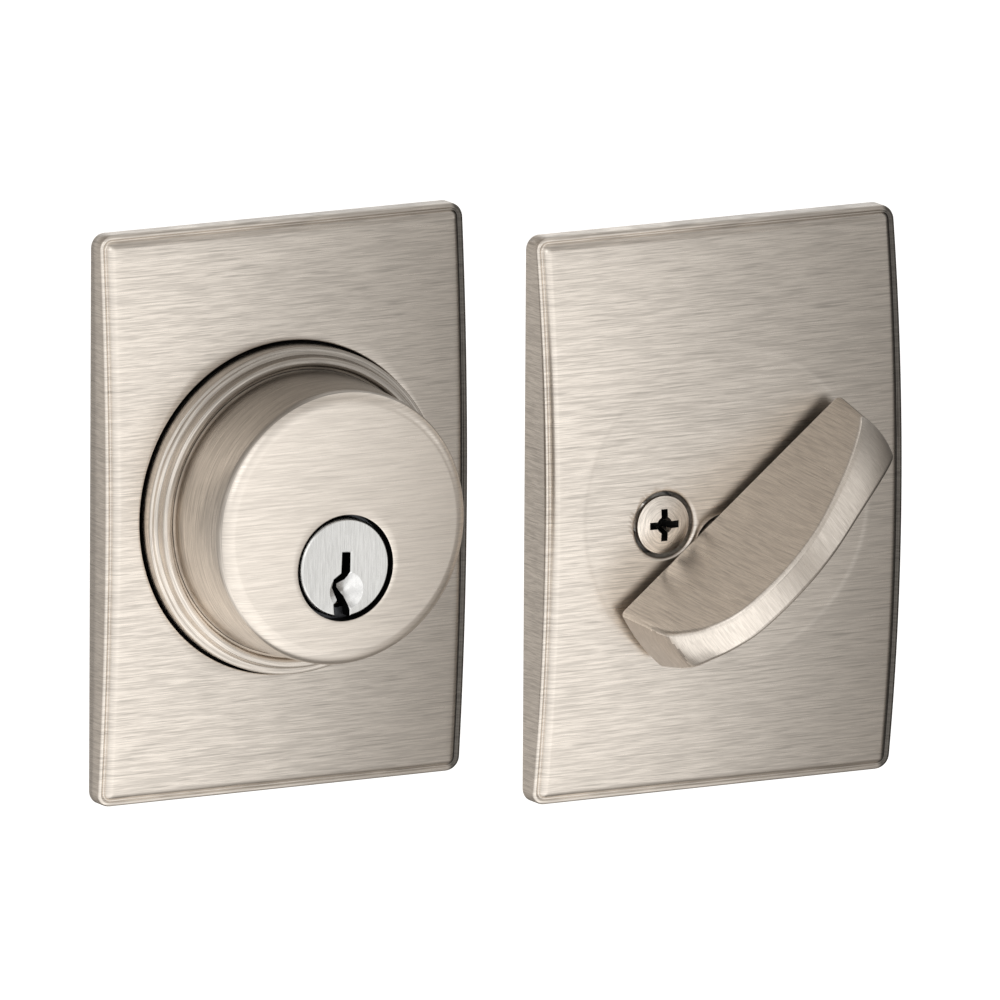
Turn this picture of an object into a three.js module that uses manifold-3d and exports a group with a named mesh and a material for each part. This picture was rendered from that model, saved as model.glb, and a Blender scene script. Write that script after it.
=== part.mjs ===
// Trims of a single-cylinder deadbolt: the keyed exterior unit and the interior unit with its thumbturn.
// Millimetres, +Z up. The fronts face -Y and both backs lie on the plane Y = 0, the face of the door.
// The origin is the exterior guard's axis on that plane. "Forward" below means towards -Y.

import * as THREE from 'three';
import { mergeVertices } from 'three/addons/utils/BufferGeometryUtils.js';
import Module from 'manifold-3d';

const wasm = await Module();
wasm.setup();

// ---- Driving dimensions -----------------------------------------------------------------------

const GAP = 0.3; // clearance between pieces that touch
const DOOR_CLEARANCE = 0.1; // inner pieces stop this far short of the door

// Both roses
const ROSE_WIDTH = 65.2;
const ROSE_HEIGHT = 92;
const ROSE_CORNER = 2.4;
const ROSE_WALL = 1.7;
const PANEL_INSET = 2.3; // from the outer edge to the raised panel
const PANEL_RISE = 0.65; // panel above the ridge at the edge
const RIDGE_DROP = 0.35; // groove between ridge and panel
const GROOVE_WIDTH = 0.7;

// Edge depth at top and bottom, and how much further the middle bulges
const EXTERIOR_EDGE = 3.1;
const EXTERIOR_BULGE = 2.35;
const INTERIOR_EDGE = 3.4;
const INTERIOR_BULGE = 3.75;

// Where the interior unit lies beside the exterior one
const INTERIOR_X = 78.3;
const INTERIOR_Z = -7.1;

// Exterior guard and its base ring
const ROSE_HOLE_R = 26.85;
const RING_R = 26.4;
const RING_FLANGE_R = 30;
const RING_FLANGE_DEPTH = 2.6;
const GUARD_BASE_R = 22.95;
const GUARD_FRONT_R = 22;
const GUARD_BASE_DEPTH = 9.9;
const GUARD_FRONT = 24.9;
const GUARD_SHOULDER = 1.3;
const GUARD_WALL = 3.2;
const GUARD_FRONT_WALL = 2.6;
const BORE_ENTRY = 4; // how far ring and guard reach into the door

// Cylinder
const AXIS_DROP = 6.3; // plug and thumbturn axis below the middle of each rose
const PLUG_FACE_R = 8;
const PLUG_FACE_HOLE_R = 8.52;
const PLUG_FACE_DEPTH = 24.7;
const PLUG_R = 6.35;
const PLUG_BORE_R = 6.65;
const PLUG_TAIL_R = 4.6;
const LEAD_IN_R = 3; // dimple round the keyway, placed from the plug's axis
const LEAD_IN_DEPTH = 1;
const LEAD_IN_X = 0.25;
const LEAD_IN_Z = -3.7;
const RETAINER_R = 7.6;
const RETAINER_LENGTH = 5.2;
const LOST_MOTION = 45; // degrees the tailpiece swings either way before the plug drives it
const SHELL_R = 10.8;
const SHELL_FRONT = 19.9;
const SHELL_BACK = -BORE_ENTRY;
const TOWER_WIDTH = 8.6;
const TOWER_TOP = 19.5; // above the plug's axis
const PIN_COUNT = 5;
const PIN_PITCH = 3.96;
const FIRST_PIN = 16.6;
const PIN_R = 1.35;
const CHAMBER_R = 1.65;
const CHAMBER_FLOOR = -1.6; // from the plug's axis
const KEY_PIN_LENGTHS = [5.2, 6.1, 4.6, 5.7, 4.9];
const DRIVER_LENGTH = 4.6;
const SPRING_TURNS = 5;
const SPRING_WIRE_R = 0.22;

// Tailpiece, posts and screws
const TAILPIECE_WIDTH = 6.2;
const TAILPIECE_THICKNESS = 1.6;
const TAILPIECE_HEAD_R = 4.9;
const TAILPIECE_END = 44; // behind the door face
const SUPPORT_PLATE_R = 22.4;
const SUPPORT_PLATE_THICKNESS = 2;
const POST_R = 3.6;
const POST_BORE_R = 1.95;
const POST_LENGTH = 16;
const SCREW_X = 11.3;
const SCREW_Z = -1.5;
const SCREW_SHANK_R = 2.4;
const SCREW_HEAD_R = 4.74;
const SCREW_HEAD_DEPTH = 7.35;
const SCREW_RECESS_R = 5.76;
const SCREW_RECESS_FLOOR_R = 5.3;
const SCREW_END = 30; // behind the door face

// Thumbturn
const TURN_ANGLE = 39; // degrees above horizontal
const TURN_BACK = 9.2; // flat back of the bow, forward of the door
const TURN_SHORT_ARM = 21;
const TURN_LONG_ARM = 29.8;
const TURN_SECTION = [[6.2, 0], [4.9, 8], [3.3, 16], [2.4, 24]]; // half thickness and height above the back
const BOSS_R = 5.4;
const STEM_R = 4;
const STEM_LENGTH = 9; // behind the door face
const GROOVE_R = 3.3;
const HUB_R = 6.4;
const HUB_END = 17; // behind the door face
const DISC_R = 25.8; // shallow round seat in the interior rose
const DISC_STEP = 0.08;
const INTERIOR_PLATE_R = 27.5;

const LARGE_ROUND = 60;
const SMALL_ROUND = 24;

// ---- Materials --------------------------------------------------------------------------------

const metal = (color, roughness) => new THREE.MeshStandardMaterial({ color, roughness, metalness: 1 });

const materials = {
  satinNickel: metal(0xb9afa3, 0.38),
  plugNickel: metal(0xc9c7c2, 0.3),
  zincCasting: metal(0x9c9a96, 0.5),
  brass: metal(0xb59a5a, 0.35),
  steel: metal(0xa5a7a8, 0.35),
  hardSteel: metal(0x5b5d60, 0.4),
  springSteel: metal(0x84878a, 0.3),
};

// ---- Geometry helpers -------------------------------------------------------------------------

function toSolid(geometry) {
  const bare = geometry.index ? geometry.toNonIndexed() : geometry.clone();
  bare.deleteAttribute('normal');
  bare.deleteAttribute('uv');
  const merged = mergeVertices(bare, 1e-4);
  return new wasm.Manifold(new wasm.Mesh({
    numProp: 3,
    vertProperties: new Float32Array(merged.attributes.position.array),
    triVerts: new Uint32Array(merged.index.array),
  }));
}

function toGeometry(solid) {
  const mesh = solid.getMesh();
  const geometry = new THREE.BufferGeometry();
  geometry.setAttribute('position', new THREE.BufferAttribute(mesh.vertProperties, 3));
  geometry.setIndex(new THREE.BufferAttribute(mesh.triVerts, 1));
  geometry.computeVertexNormals();
  return geometry;
}

const join = (first, ...others) => others.reduce((whole, other) => whole.add(other), first);
const cut = (first, ...others) => others.reduce((whole, other) => whole.subtract(other), first);

// A solid of revolution about the forward axis. The profile lists [radius, depth forward of the door].
function turned(profile, segments, x = 0, z = 0) {
  const points = profile.map(([radius, depth]) => new THREE.Vector2(radius, depth));
  points.push(points[0].clone());
  const geometry = new THREE.LatheGeometry(points, segments);
  geometry.rotateX(Math.PI);
  geometry.translate(x, 0, z);
  return toSolid(geometry);
}

// A round bar or disc between two depths.
function bar(radius, back, front, segments, x = 0, z = 0) {
  const geometry = new THREE.CylinderGeometry(radius, radius, front - back, segments);
  geometry.translate(x, -(front + back) / 2, z);
  return toSolid(geometry);
}

// A vertical round bar on the pin line, between two heights.
function uprightBar(radius, low, high, depth) {
  const geometry = new THREE.CylinderGeometry(radius, radius, high - low, SMALL_ROUND);
  geometry.rotateX(Math.PI / 2);
  geometry.translate(0, -depth, (low + high) / 2);
  return toSolid(geometry);
}

function box(x0, x1, back, front, z0, z1) {
  const geometry = new THREE.BoxGeometry(x1 - x0, front - back, z1 - z0);
  geometry.translate((x0 + x1) / 2, -(front + back) / 2, (z0 + z1) / 2);
  return toSolid(geometry);
}

const extruded = (shape, depth, curveSegments) =>
  new THREE.ExtrudeGeometry(shape, { depth, bevelEnabled: false, curveSegments });

// An outline in X and Z, extruded forward from one depth to another.
function plate(shape, back, front, curveSegments = 12) {
  const geometry = extruded(shape, front - back, curveSegments);
  geometry.rotateX(Math.PI / 2);
  geometry.translate(0, -back, 0);
  return toSolid(geometry);
}

function roundedRectangle(width, height, radius) {
  const x = width / 2;
  const z = height / 2;
  const shape = new THREE.Shape();
  shape.moveTo(-x + radius, -z);
  shape.lineTo(x - radius, -z);
  shape.absarc(x - radius, -z + radius, radius, -Math.PI / 2, 0, false);
  shape.lineTo(x, z - radius);
  shape.absarc(x - radius, z - radius, radius, 0, Math.PI / 2, false);
  shape.lineTo(-x + radius, z);
  shape.absarc(-x + radius, z - radius, radius, Math.PI / 2, Math.PI, false);
  shape.lineTo(-x, -z + radius);
  shape.absarc(-x + radius, -z + radius, radius, Math.PI, Math.PI * 1.5, false);
  return shape;
}

// ---- Roses ------------------------------------------------------------------------------------

// Everything behind a front that bulges forward in the middle of its height, curved about a level axis.
function bulgedSlab(width, edge, bulge) {
  const half = ROSE_HEIGHT / 2;
  const radius = (half * half + bulge * bulge) / (2 * bulge);
  const centre = edge + bulge - radius;
  const sweep = Math.asin(half / radius);
  const outline = new THREE.Shape();
  outline.moveTo(-1, -half);
  outline.lineTo(edge, -half);
  outline.absarc(centre, 0, radius, -sweep, sweep, false);
  outline.lineTo(-1, half);
  const geometry = extruded(outline, width, 20);
  geometry.translate(0, 0, -width / 2);
  // The outline's x is depth and its y is height: turn depth to -Y, height to Z and the extrusion to X.
  geometry.applyMatrix4(new THREE.Matrix4().makeBasis(
    new THREE.Vector3(0, -1, 0),
    new THREE.Vector3(0, 0, 1),
    new THREE.Vector3(-1, 0, 0),
  ));
  return toSolid(geometry);
}

function bulgedPlate(inset, edge, bulge, back) {
  const width = ROSE_WIDTH - 2 * inset;
  const height = ROSE_HEIGHT - 2 * inset;
  const outline = plate(roundedRectangle(width, height, Math.max(ROSE_CORNER - inset, 0.4)), back, 20, 4);
  return bulgedSlab(width + 2, edge, bulge).intersect(outline);
}

function roseBlank(edge, bulge) {
  const rim = bulgedPlate(0, edge, bulge, 0);
  const ditch = bulgedPlate(PANEL_INSET - GROOVE_WIDTH, edge - RIDGE_DROP, bulge, 0);
  const aboveDitch = bulgedPlate(PANEL_INSET - GROOVE_WIDTH, edge + 5, bulge, 0).subtract(ditch);
  const panel = bulgedPlate(PANEL_INSET, edge + PANEL_RISE, bulge, 0);
  const cavity = bulgedPlate(ROSE_WALL, edge - ROSE_WALL + PANEL_RISE - 0.2, bulge, -1);
  return cut(join(cut(rim, aboveDitch), panel), cavity);
}

function exteriorRose() {
  return cut(roseBlank(EXTERIOR_EDGE, EXTERIOR_BULGE), bar(ROSE_HOLE_R, -1, 20, LARGE_ROUND));
}

function interiorRose() {
  let rose = roseBlank(INTERIOR_EDGE, INTERIOR_BULGE);
  const seat = bulgedPlate(0, INTERIOR_EDGE + PANEL_RISE - DISC_STEP, INTERIOR_BULGE, -1);
  rose = rose.subtract(bar(DISC_R, 0, 20, LARGE_ROUND).subtract(seat));
  rose = rose.subtract(bar(BOSS_R + GAP, -1, 20, SMALL_ROUND, 0, -AXIS_DROP));
  for (const side of [-1, 1]) {
    const x = side * SCREW_X;
    // The recess wall goes down to the support plate, and a thin sleeve keeps the hole round.
    const inner = SCREW_RECESS_FLOOR_R;
    const outer = inner + 1.1;
    const sleeve = turned([[inner, 3], [outer, 3], [outer, 7], [inner, 7]], SMALL_ROUND, x, SCREW_Z);
    const recess = turned([[0, 2], [inner, 2], [inner, 7.1], [SCREW_RECESS_R + 0.3, 8.2], [0, 8.2]],
      SMALL_ROUND, x, SCREW_Z);
    rose = rose.add(sleeve).subtract(recess);
  }
  return rose;
}

// ---- Exterior unit ----------------------------------------------------------------------------

function guardBaseRing() {
  const inner = GUARD_BASE_R + GAP;
  return turned([
    [inner, -BORE_ENTRY],
    [RING_R, -BORE_ENTRY],
    [RING_R, DOOR_CLEARANCE],
    [RING_FLANGE_R, DOOR_CLEARANCE],
    [RING_FLANGE_R, RING_FLANGE_DEPTH],
    [RING_R, RING_FLANGE_DEPTH],
    [RING_R, 8.2],
    [RING_R - 0.3, 8.55],
    [RING_R - 0.9, 8.5],
    [25, 8.8],
    [24.95, 10.1],
    [24.7, 10.55],
    [24.3, 10.7],
    [23.9, 10.5],
    [23.65, 10.1],
    [inner, 9.8],
  ], LARGE_ROUND);
}

function cylinderGuard() {
  const innerR = GUARD_FRONT_R - GUARD_WALL;
  const frontInside = GUARD_FRONT - GUARD_FRONT_WALL;
  const body = turned([
    [0, frontInside],
    [innerR, frontInside],
    [innerR, -BORE_ENTRY],
    [GUARD_BASE_R, -BORE_ENTRY],
    [GUARD_BASE_R, GUARD_BASE_DEPTH],
    [GUARD_FRONT_R, GUARD_FRONT - GUARD_SHOULDER],
    [GUARD_FRONT_R - GUARD_SHOULDER * 0.3, GUARD_FRONT - GUARD_SHOULDER * 0.3],
    [GUARD_FRONT_R - GUARD_SHOULDER, GUARD_FRONT],
    [0, GUARD_FRONT],
  ], LARGE_ROUND);
  return body.subtract(bar(PLUG_FACE_HOLE_R, 10, 30, LARGE_ROUND, 0, -AXIS_DROP));
}

function hardenedInsert() {
  const front = GUARD_FRONT - GUARD_FRONT_WALL - GAP;
  const back = SHELL_FRONT + GAP;
  const disc = bar(12, back, front, SMALL_ROUND * 2, 0, -AXIS_DROP);
  return disc.subtract(bar(PLUG_R + 0.5, 0, 30, SMALL_ROUND, 0, -AXIS_DROP));
}

const pinDepth = (index) => FIRST_PIN - index * PIN_PITCH;

function cylinderShell() {
  const z = -AXIS_DROP;
  const barrel = bar(SHELL_R, SHELL_BACK, SHELL_FRONT, LARGE_ROUND, 0, z);
  const half = TOWER_WIDTH / 2;
  const tower = box(-half, half, SHELL_BACK, SHELL_FRONT, z, z + TOWER_TOP);
  let shell = cut(join(barrel, tower), bar(PLUG_BORE_R, -10, 30, SMALL_ROUND * 2, 0, z));
  for (let i = 0; i < PIN_COUNT; i += 1) {
    shell = shell.subtract(uprightBar(CHAMBER_R, z, z + TOWER_TOP + 1, pinDepth(i)));
  }
  return shell;
}

function pinChamberCap() {
  const base = -AXIS_DROP + TOWER_TOP + GAP;
  const half = TOWER_WIDTH / 2;
  return box(-half, half, SHELL_BACK, SHELL_FRONT, base, base + 1.2);
}

// The keyway's outline about the plug's axis: a straight top, a step to the left, then a foot to the edge.
function keywayOutline() {
  const points = [
    [-0.4, 2.4], [1.05, 2.4], [1.02, -0.7], [0.07, -1.95], [-1.4, -2.45], [-1.3, -3.05], [0.07, -4.6],
    [0.92, -6.8], [0.92, -8.4], [-1.67, -8.4], [-1.92, -5.8], [-1.32, -5.1], [-2.28, -3.05], [-1.92, -1.8],
    [-0.54, -0.9],
  ];
  return new THREE.Shape(points.map(([x, z]) => new THREE.Vector2(x, z - AXIS_DROP)));
}

// The cone-shaped dimple that leads the key in.
function keyLeadIn() {
  const face = PLUG_FACE_DEPTH;
  const profile = [[0, face - LEAD_IN_DEPTH], [LEAD_IN_R, face], [LEAD_IN_R, face + 1], [0, face + 1]];
  return turned(profile, SMALL_ROUND * 2, LEAD_IN_X, LEAD_IN_Z - AXIS_DROP);
}

function plug() {
  const z = -AXIS_DROP;
  const head = bar(PLUG_FACE_R, GUARD_FRONT - GUARD_FRONT_WALL, PLUG_FACE_DEPTH, LARGE_ROUND, 0, z);
  const body = bar(PLUG_R, SHELL_BACK - 0.4, PLUG_FACE_DEPTH - 1, SMALL_ROUND * 2, 0, z);
  const tail = bar(PLUG_TAIL_R, SHELL_BACK - 2.6, SHELL_BACK, SMALL_ROUND, 0, z);
  let solid = cut(join(head, body, tail), plate(keywayOutline(), -0.5, 30), keyLeadIn());
  for (let i = 0; i < PIN_COUNT; i += 1) {
    solid = solid.subtract(uprightBar(CHAMBER_R, z + CHAMBER_FLOOR, z + PLUG_R + 1, pinDepth(i)));
  }
  return solid;
}

// A pin with a cone at one end, the key's side for a key pin.
function pin(length, base, depth, tip) {
  const geometry = new THREE.CylinderGeometry(PIN_R, PIN_R, length - tip, SMALL_ROUND / 2);
  geometry.translate(0, tip / 2, 0);
  const cone = new THREE.CylinderGeometry(PIN_R, PIN_R * 0.35, tip, SMALL_ROUND / 2);
  cone.translate(0, tip / 2 - length / 2, 0);
  const solid = join(toSolid(geometry), toSolid(cone));
  return solid.rotate([90, 0, 0]).translate([0, -depth, base + length / 2]);
}

function pinSpring(low, high, depth) {
  const radius = PIN_R - SPRING_WIRE_R - 0.1;
  const steps = SPRING_TURNS * 8;
  const points = [];
  for (let i = 0; i <= steps; i += 1) {
    const turn = (i / steps) * SPRING_TURNS * Math.PI * 2;
    const z = low + SPRING_WIRE_R + (high - low - 2 * SPRING_WIRE_R) * (i / steps);
    points.push(new THREE.Vector3(radius * Math.cos(turn), radius * Math.sin(turn) - depth, z));
  }
  const wire = new THREE.Shape();
  wire.absarc(0, 0, SPRING_WIRE_R, 0, Math.PI * 2, false);
  const path = new THREE.CatmullRomCurve3(points);
  const options = { extrudePath: path, steps, curveSegments: 3, bevelEnabled: false };
  return toSolid(new THREE.ExtrudeGeometry(wire, options));
}

// A cap on the plug's tail. The fan-shaped outlet lets the tailpiece swing before its sides drive it.
function plugRetainer() {
  const z = -AXIS_DROP;
  const front = SHELL_BACK - 0.8;
  const back = front - RETAINER_LENGTH;
  const headRoomFront = SHELL_BACK - 2.9;
  const cap = bar(RETAINER_R, back, front, SMALL_ROUND * 2, 0, z);
  const pocket = bar(PLUG_TAIL_R + GAP, headRoomFront, front + 1, SMALL_ROUND, 0, z);
  const headRoom = bar(TAILPIECE_HEAD_R + 0.5, back + 1.1, headRoomFront + 0.1, SMALL_ROUND, 0, z);
  let retainer = cut(cap, pocket, headRoom);
  const half = TAILPIECE_THICKNESS / 2 + 0.2;
  const reach = TAILPIECE_WIDTH / 2 + GAP;
  for (let step = -2; step <= 2; step += 1) {
    const slot = box(-half, half, back - 1, back + 2, -reach, reach);
    retainer = retainer.subtract(slot.rotate([0, (step / 2) * LOST_MOTION, 0]).translate([0, 0, z]));
  }
  return retainer;
}

function tailpiece() {
  const z = -AXIS_DROP;
  const headFront = SHELL_BACK - 3.3;
  const headBack = SHELL_BACK - 4.6;
  const head = bar(TAILPIECE_HEAD_R, headBack, headFront, SMALL_ROUND, 0, z);
  const halfWidth = TAILPIECE_WIDTH / 2;
  const half = TAILPIECE_THICKNESS / 2;
  const blade = box(-half, half, -TAILPIECE_END, headBack + 0.5, z - halfWidth, z + halfWidth);
  return join(head, blade);
}

function cylinderSupportPlate() {
  const z = -AXIS_DROP;
  const front = SHELL_BACK - GAP;
  const disc = bar(SUPPORT_PLATE_R, front - SUPPORT_PLATE_THICKNESS, front, LARGE_ROUND);
  return disc.subtract(bar(RETAINER_R + 0.5, -20, 20, SMALL_ROUND, 0, z));
}

function mountingPost(side) {
  const front = SHELL_BACK - GAP - SUPPORT_PLATE_THICKNESS - GAP;
  const x = side * SCREW_X;
  const post = bar(POST_R, front - POST_LENGTH, front, SMALL_ROUND, x, SCREW_Z);
  return post.subtract(bar(POST_BORE_R, front - POST_LENGTH - 1, front - 2, SMALL_ROUND / 2, x, SCREW_Z));
}

// ---- Interior unit ----------------------------------------------------------------------------

// Side outline of the bow: u runs along the turn from its axis, w forward from its flat back.
function turnOutline() {
  const front = [
    [27.6, 9.4], [22.7, 13.1], [15.9, 17], [7, 21.2], [-1.7, 23], [-10.5, 22.4], [-15.6, 19.3], [-18.6, 15.4],
    [-20.2, 12.2],
  ];
  const outline = new THREE.Shape();
  outline.moveTo(-TURN_SHORT_ARM, 0);
  outline.lineTo(TURN_LONG_ARM, 0);
  outline.lineTo(TURN_LONG_ARM - 1.1, 6.8);
  outline.splineThru(front.map(([u, w]) => new THREE.Vector2(u, w)));
  outline.lineTo(-TURN_SHORT_ARM + 0.25, 8);
  return outline;
}

function thumbturn() {
  const outlineLength = 14;
  const sectionLength = 70;
  // Both solids go to the same axes: u to X, w to -Y, and the thickness to Z.
  const side = extruded(turnOutline(), outlineLength, 4);
  side.translate(0, 0, -outlineLength / 2);
  side.rotateX(Math.PI);
  // The section across the turn narrows towards the front.
  const mirrored = TURN_SECTION.map(([half, w]) => [-half, w]).reverse();
  const section = new THREE.Shape([...TURN_SECTION, ...mirrored].map(([v, w]) => new THREE.Vector2(v, w)));
  const along = extruded(section, sectionLength, 1);
  along.translate(0, 0, -sectionLength / 2);
  along.applyMatrix4(new THREE.Matrix4().makeBasis(
    new THREE.Vector3(0, 0, 1), new THREE.Vector3(0, -1, 0), new THREE.Vector3(1, 0, 0)));
  const bow = toSolid(side).intersect(toSolid(along));
  const placed = bow.rotate([0, -TURN_ANGLE, 0]).translate([0, -TURN_BACK, -AXIS_DROP]);
  const boss = bar(BOSS_R, 3.9, TURN_BACK + 1, SMALL_ROUND, 0, -AXIS_DROP);
  const stem = bar(STEM_R, -STEM_LENGTH, 5, SMALL_ROUND, 0, -AXIS_DROP);
  const clipGroove = turned([[GROOVE_R, -1.9], [STEM_R + 1, -1.9], [STEM_R + 1, -0.4], [GROOVE_R, -0.4]],
    SMALL_ROUND, 0, -AXIS_DROP);
  return cut(join(placed, boss, stem), clipGroove);
}

// The hub holds the stem in front and takes the tailpiece in its slot behind.
function thumbturnHub() {
  const z = -AXIS_DROP;
  const body = bar(HUB_R, -HUB_END, -2.2, SMALL_ROUND, 0, z);
  const socket = bar(STEM_R + GAP, -STEM_LENGTH - GAP, 0, SMALL_ROUND, 0, z);
  const slotHalf = TAILPIECE_THICKNESS / 2 + 0.4;
  const slotReach = TAILPIECE_WIDTH / 2 + 0.4;
  const slot = box(-slotHalf, slotHalf, -HUB_END - 1, -STEM_LENGTH, z - slotReach, z + slotReach);
  return cut(body, socket, slot);
}

function springWasher() {
  const z = -AXIS_DROP;
  return turned([[STEM_R + GAP, 1.9], [7.4, 2.1], [7.4, 2.5], [STEM_R + GAP, 2.3]], SMALL_ROUND, 0, z);
}

function retainingClip() {
  const z = -AXIS_DROP;
  const inner = GROOVE_R + GAP;
  const ring = turned([[inner, -1.6], [6.6, -1.6], [6.6, -0.7], [inner, -0.7]], SMALL_ROUND, 0, z);
  return ring.subtract(box(-2.4, 2.4, -3, 1, z - 9, z));
}

function interiorSupportPlate() {
  const disc = bar(INTERIOR_PLATE_R, DOOR_CLEARANCE, 1.5, LARGE_ROUND);
  const spindleHole = bar(STEM_R + 0.5, -1, 4, SMALL_ROUND, 0, -AXIS_DROP);
  const holeR = SCREW_SHANK_R + GAP;
  const screwHoles = [-1, 1].map((side) => bar(holeR, -1, 4, SMALL_ROUND, side * SCREW_X, SCREW_Z));
  return cut(disc, spindleHole, ...screwHoles);
}

// An oval head with a cross recess on a plain shank.
function mountingScrew(side) {
  const top = SCREW_HEAD_DEPTH;
  const screw = turned([
    [0, -SCREW_END],
    [SCREW_SHANK_R - 0.5, -SCREW_END],
    [SCREW_SHANK_R, -SCREW_END + 0.8],
    [SCREW_SHANK_R, top - 3.6],
    [SCREW_HEAD_R, top - 0.7],
    [SCREW_HEAD_R, top - 0.3],
    [SCREW_HEAD_R * 0.6, top + 0.3],
    [0, top + 0.5],
  ], SMALL_ROUND, side * SCREW_X, SCREW_Z);
  const reach = 2.5;
  const half = 0.42;
  const floor = top - 1.3;
  const x = side * SCREW_X;
  const upright = box(x - half, x + half, floor, top + 2, SCREW_Z - reach, SCREW_Z + reach);
  const level = box(x - reach, x + reach, floor, top + 2, SCREW_Z - half, SCREW_Z + half);
  return cut(screw, upright, level);
}

// ---- Assembly ---------------------------------------------------------------------------------

const deadbolt = new THREE.Group();
const exterior = new THREE.Group();
const interior = new THREE.Group();
interior.position.set(INTERIOR_X, 0, INTERIOR_Z);
deadbolt.add(exterior, interior);

function place(group, name, solid, material) {
  const mesh = new THREE.Mesh(toGeometry(solid), material);
  mesh.name = name;
  group.add(mesh);
}

place(exterior, 'exterior_rose', exteriorRose(), materials.satinNickel);
place(exterior, 'guard_base_ring', guardBaseRing(), materials.satinNickel);
place(exterior, 'cylinder_guard', cylinderGuard(), materials.satinNickel);
place(exterior, 'hardened_insert', hardenedInsert(), materials.hardSteel);
place(exterior, 'cylinder_shell', cylinderShell(), materials.brass);
place(exterior, 'pin_chamber_cap', pinChamberCap(), materials.brass);
place(exterior, 'plug', plug(), materials.plugNickel);

const shearLine = -AXIS_DROP + PLUG_R;
const chamberTop = -AXIS_DROP + TOWER_TOP;
for (let i = 0; i < PIN_COUNT; i += 1) {
  const number = i + 1;
  const length = KEY_PIN_LENGTHS[i];
  const driverBase = shearLine + GAP;
  const springBase = driverBase + DRIVER_LENGTH + GAP;
  const keyPin = pin(length, shearLine - length - 0.05, pinDepth(i), 1);
  const driverPin = pin(DRIVER_LENGTH, driverBase, pinDepth(i), 0.3);
  const spring = pinSpring(springBase, chamberTop, pinDepth(i));
  place(exterior, `key_pin_${number}`, keyPin, materials.brass);
  place(exterior, `driver_pin_${number}`, driverPin, materials.steel);
  place(exterior, `pin_spring_${number}`, spring, materials.springSteel);
}

place(exterior, 'plug_retainer', plugRetainer(), materials.zincCasting);
place(exterior, 'tailpiece', tailpiece(), materials.steel);
place(exterior, 'cylinder_support_plate', cylinderSupportPlate(), materials.steel);
place(exterior, 'mounting_post_left', mountingPost(-1), materials.steel);
place(exterior, 'mounting_post_right', mountingPost(1), materials.steel);

place(interior, 'interior_rose', interiorRose(), materials.satinNickel);
place(interior, 'thumbturn', thumbturn(), materials.satinNickel);
place(interior, 'thumbturn_hub', thumbturnHub(), materials.zincCasting);
place(interior, 'spring_washer', springWasher(), materials.springSteel);
place(interior, 'retaining_clip', retainingClip(), materials.springSteel);
place(interior, 'interior_support_plate', interiorSupportPlate(), materials.steel);
place(interior, 'mounting_screw_left', mountingScrew(-1), materials.satinNickel);
place(interior, 'mounting_screw_right', mountingScrew(1), materials.satinNickel);

export default deadbolt;
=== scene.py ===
"""Finished looks for the two trims of a single-cylinder deadbolt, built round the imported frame."""
import logging
import math
from collections.abc import Sequence
from dataclasses import dataclass
from enum import Enum

import bmesh
import bpy
from mathutils import Matrix, Vector


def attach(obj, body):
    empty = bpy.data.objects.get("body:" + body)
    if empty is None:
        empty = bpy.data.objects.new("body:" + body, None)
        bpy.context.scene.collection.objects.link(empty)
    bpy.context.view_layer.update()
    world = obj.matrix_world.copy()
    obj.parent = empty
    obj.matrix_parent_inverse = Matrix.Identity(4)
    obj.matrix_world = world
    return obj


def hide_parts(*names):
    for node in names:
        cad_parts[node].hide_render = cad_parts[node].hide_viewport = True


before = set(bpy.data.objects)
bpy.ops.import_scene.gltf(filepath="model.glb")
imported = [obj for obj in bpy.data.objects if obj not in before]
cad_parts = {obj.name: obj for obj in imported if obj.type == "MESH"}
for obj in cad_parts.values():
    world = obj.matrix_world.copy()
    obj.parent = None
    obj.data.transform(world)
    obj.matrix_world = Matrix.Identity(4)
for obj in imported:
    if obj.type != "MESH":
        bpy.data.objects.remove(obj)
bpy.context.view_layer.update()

MM = 0.001
LOG = logging.getLogger("deadbolt")
AXIS_RADIUS = 1e-6
# Metres within which points of built and of CAD meshes are one point.
WELD = 1e-7
WELD_IMPORTED = 1e-6
MIX_FIRST, MIX_SECOND, MIX_RESULT = 6, 7, 2
FLOOR_HALF = 60000
FLOOR_DEPTH = 50
Point = tuple[float, float]
Colour = tuple[float, float, float]
Loop = list[tuple[float, float, float]]


# ---- Shader building ----------------------------------------------------------------------------


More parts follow.
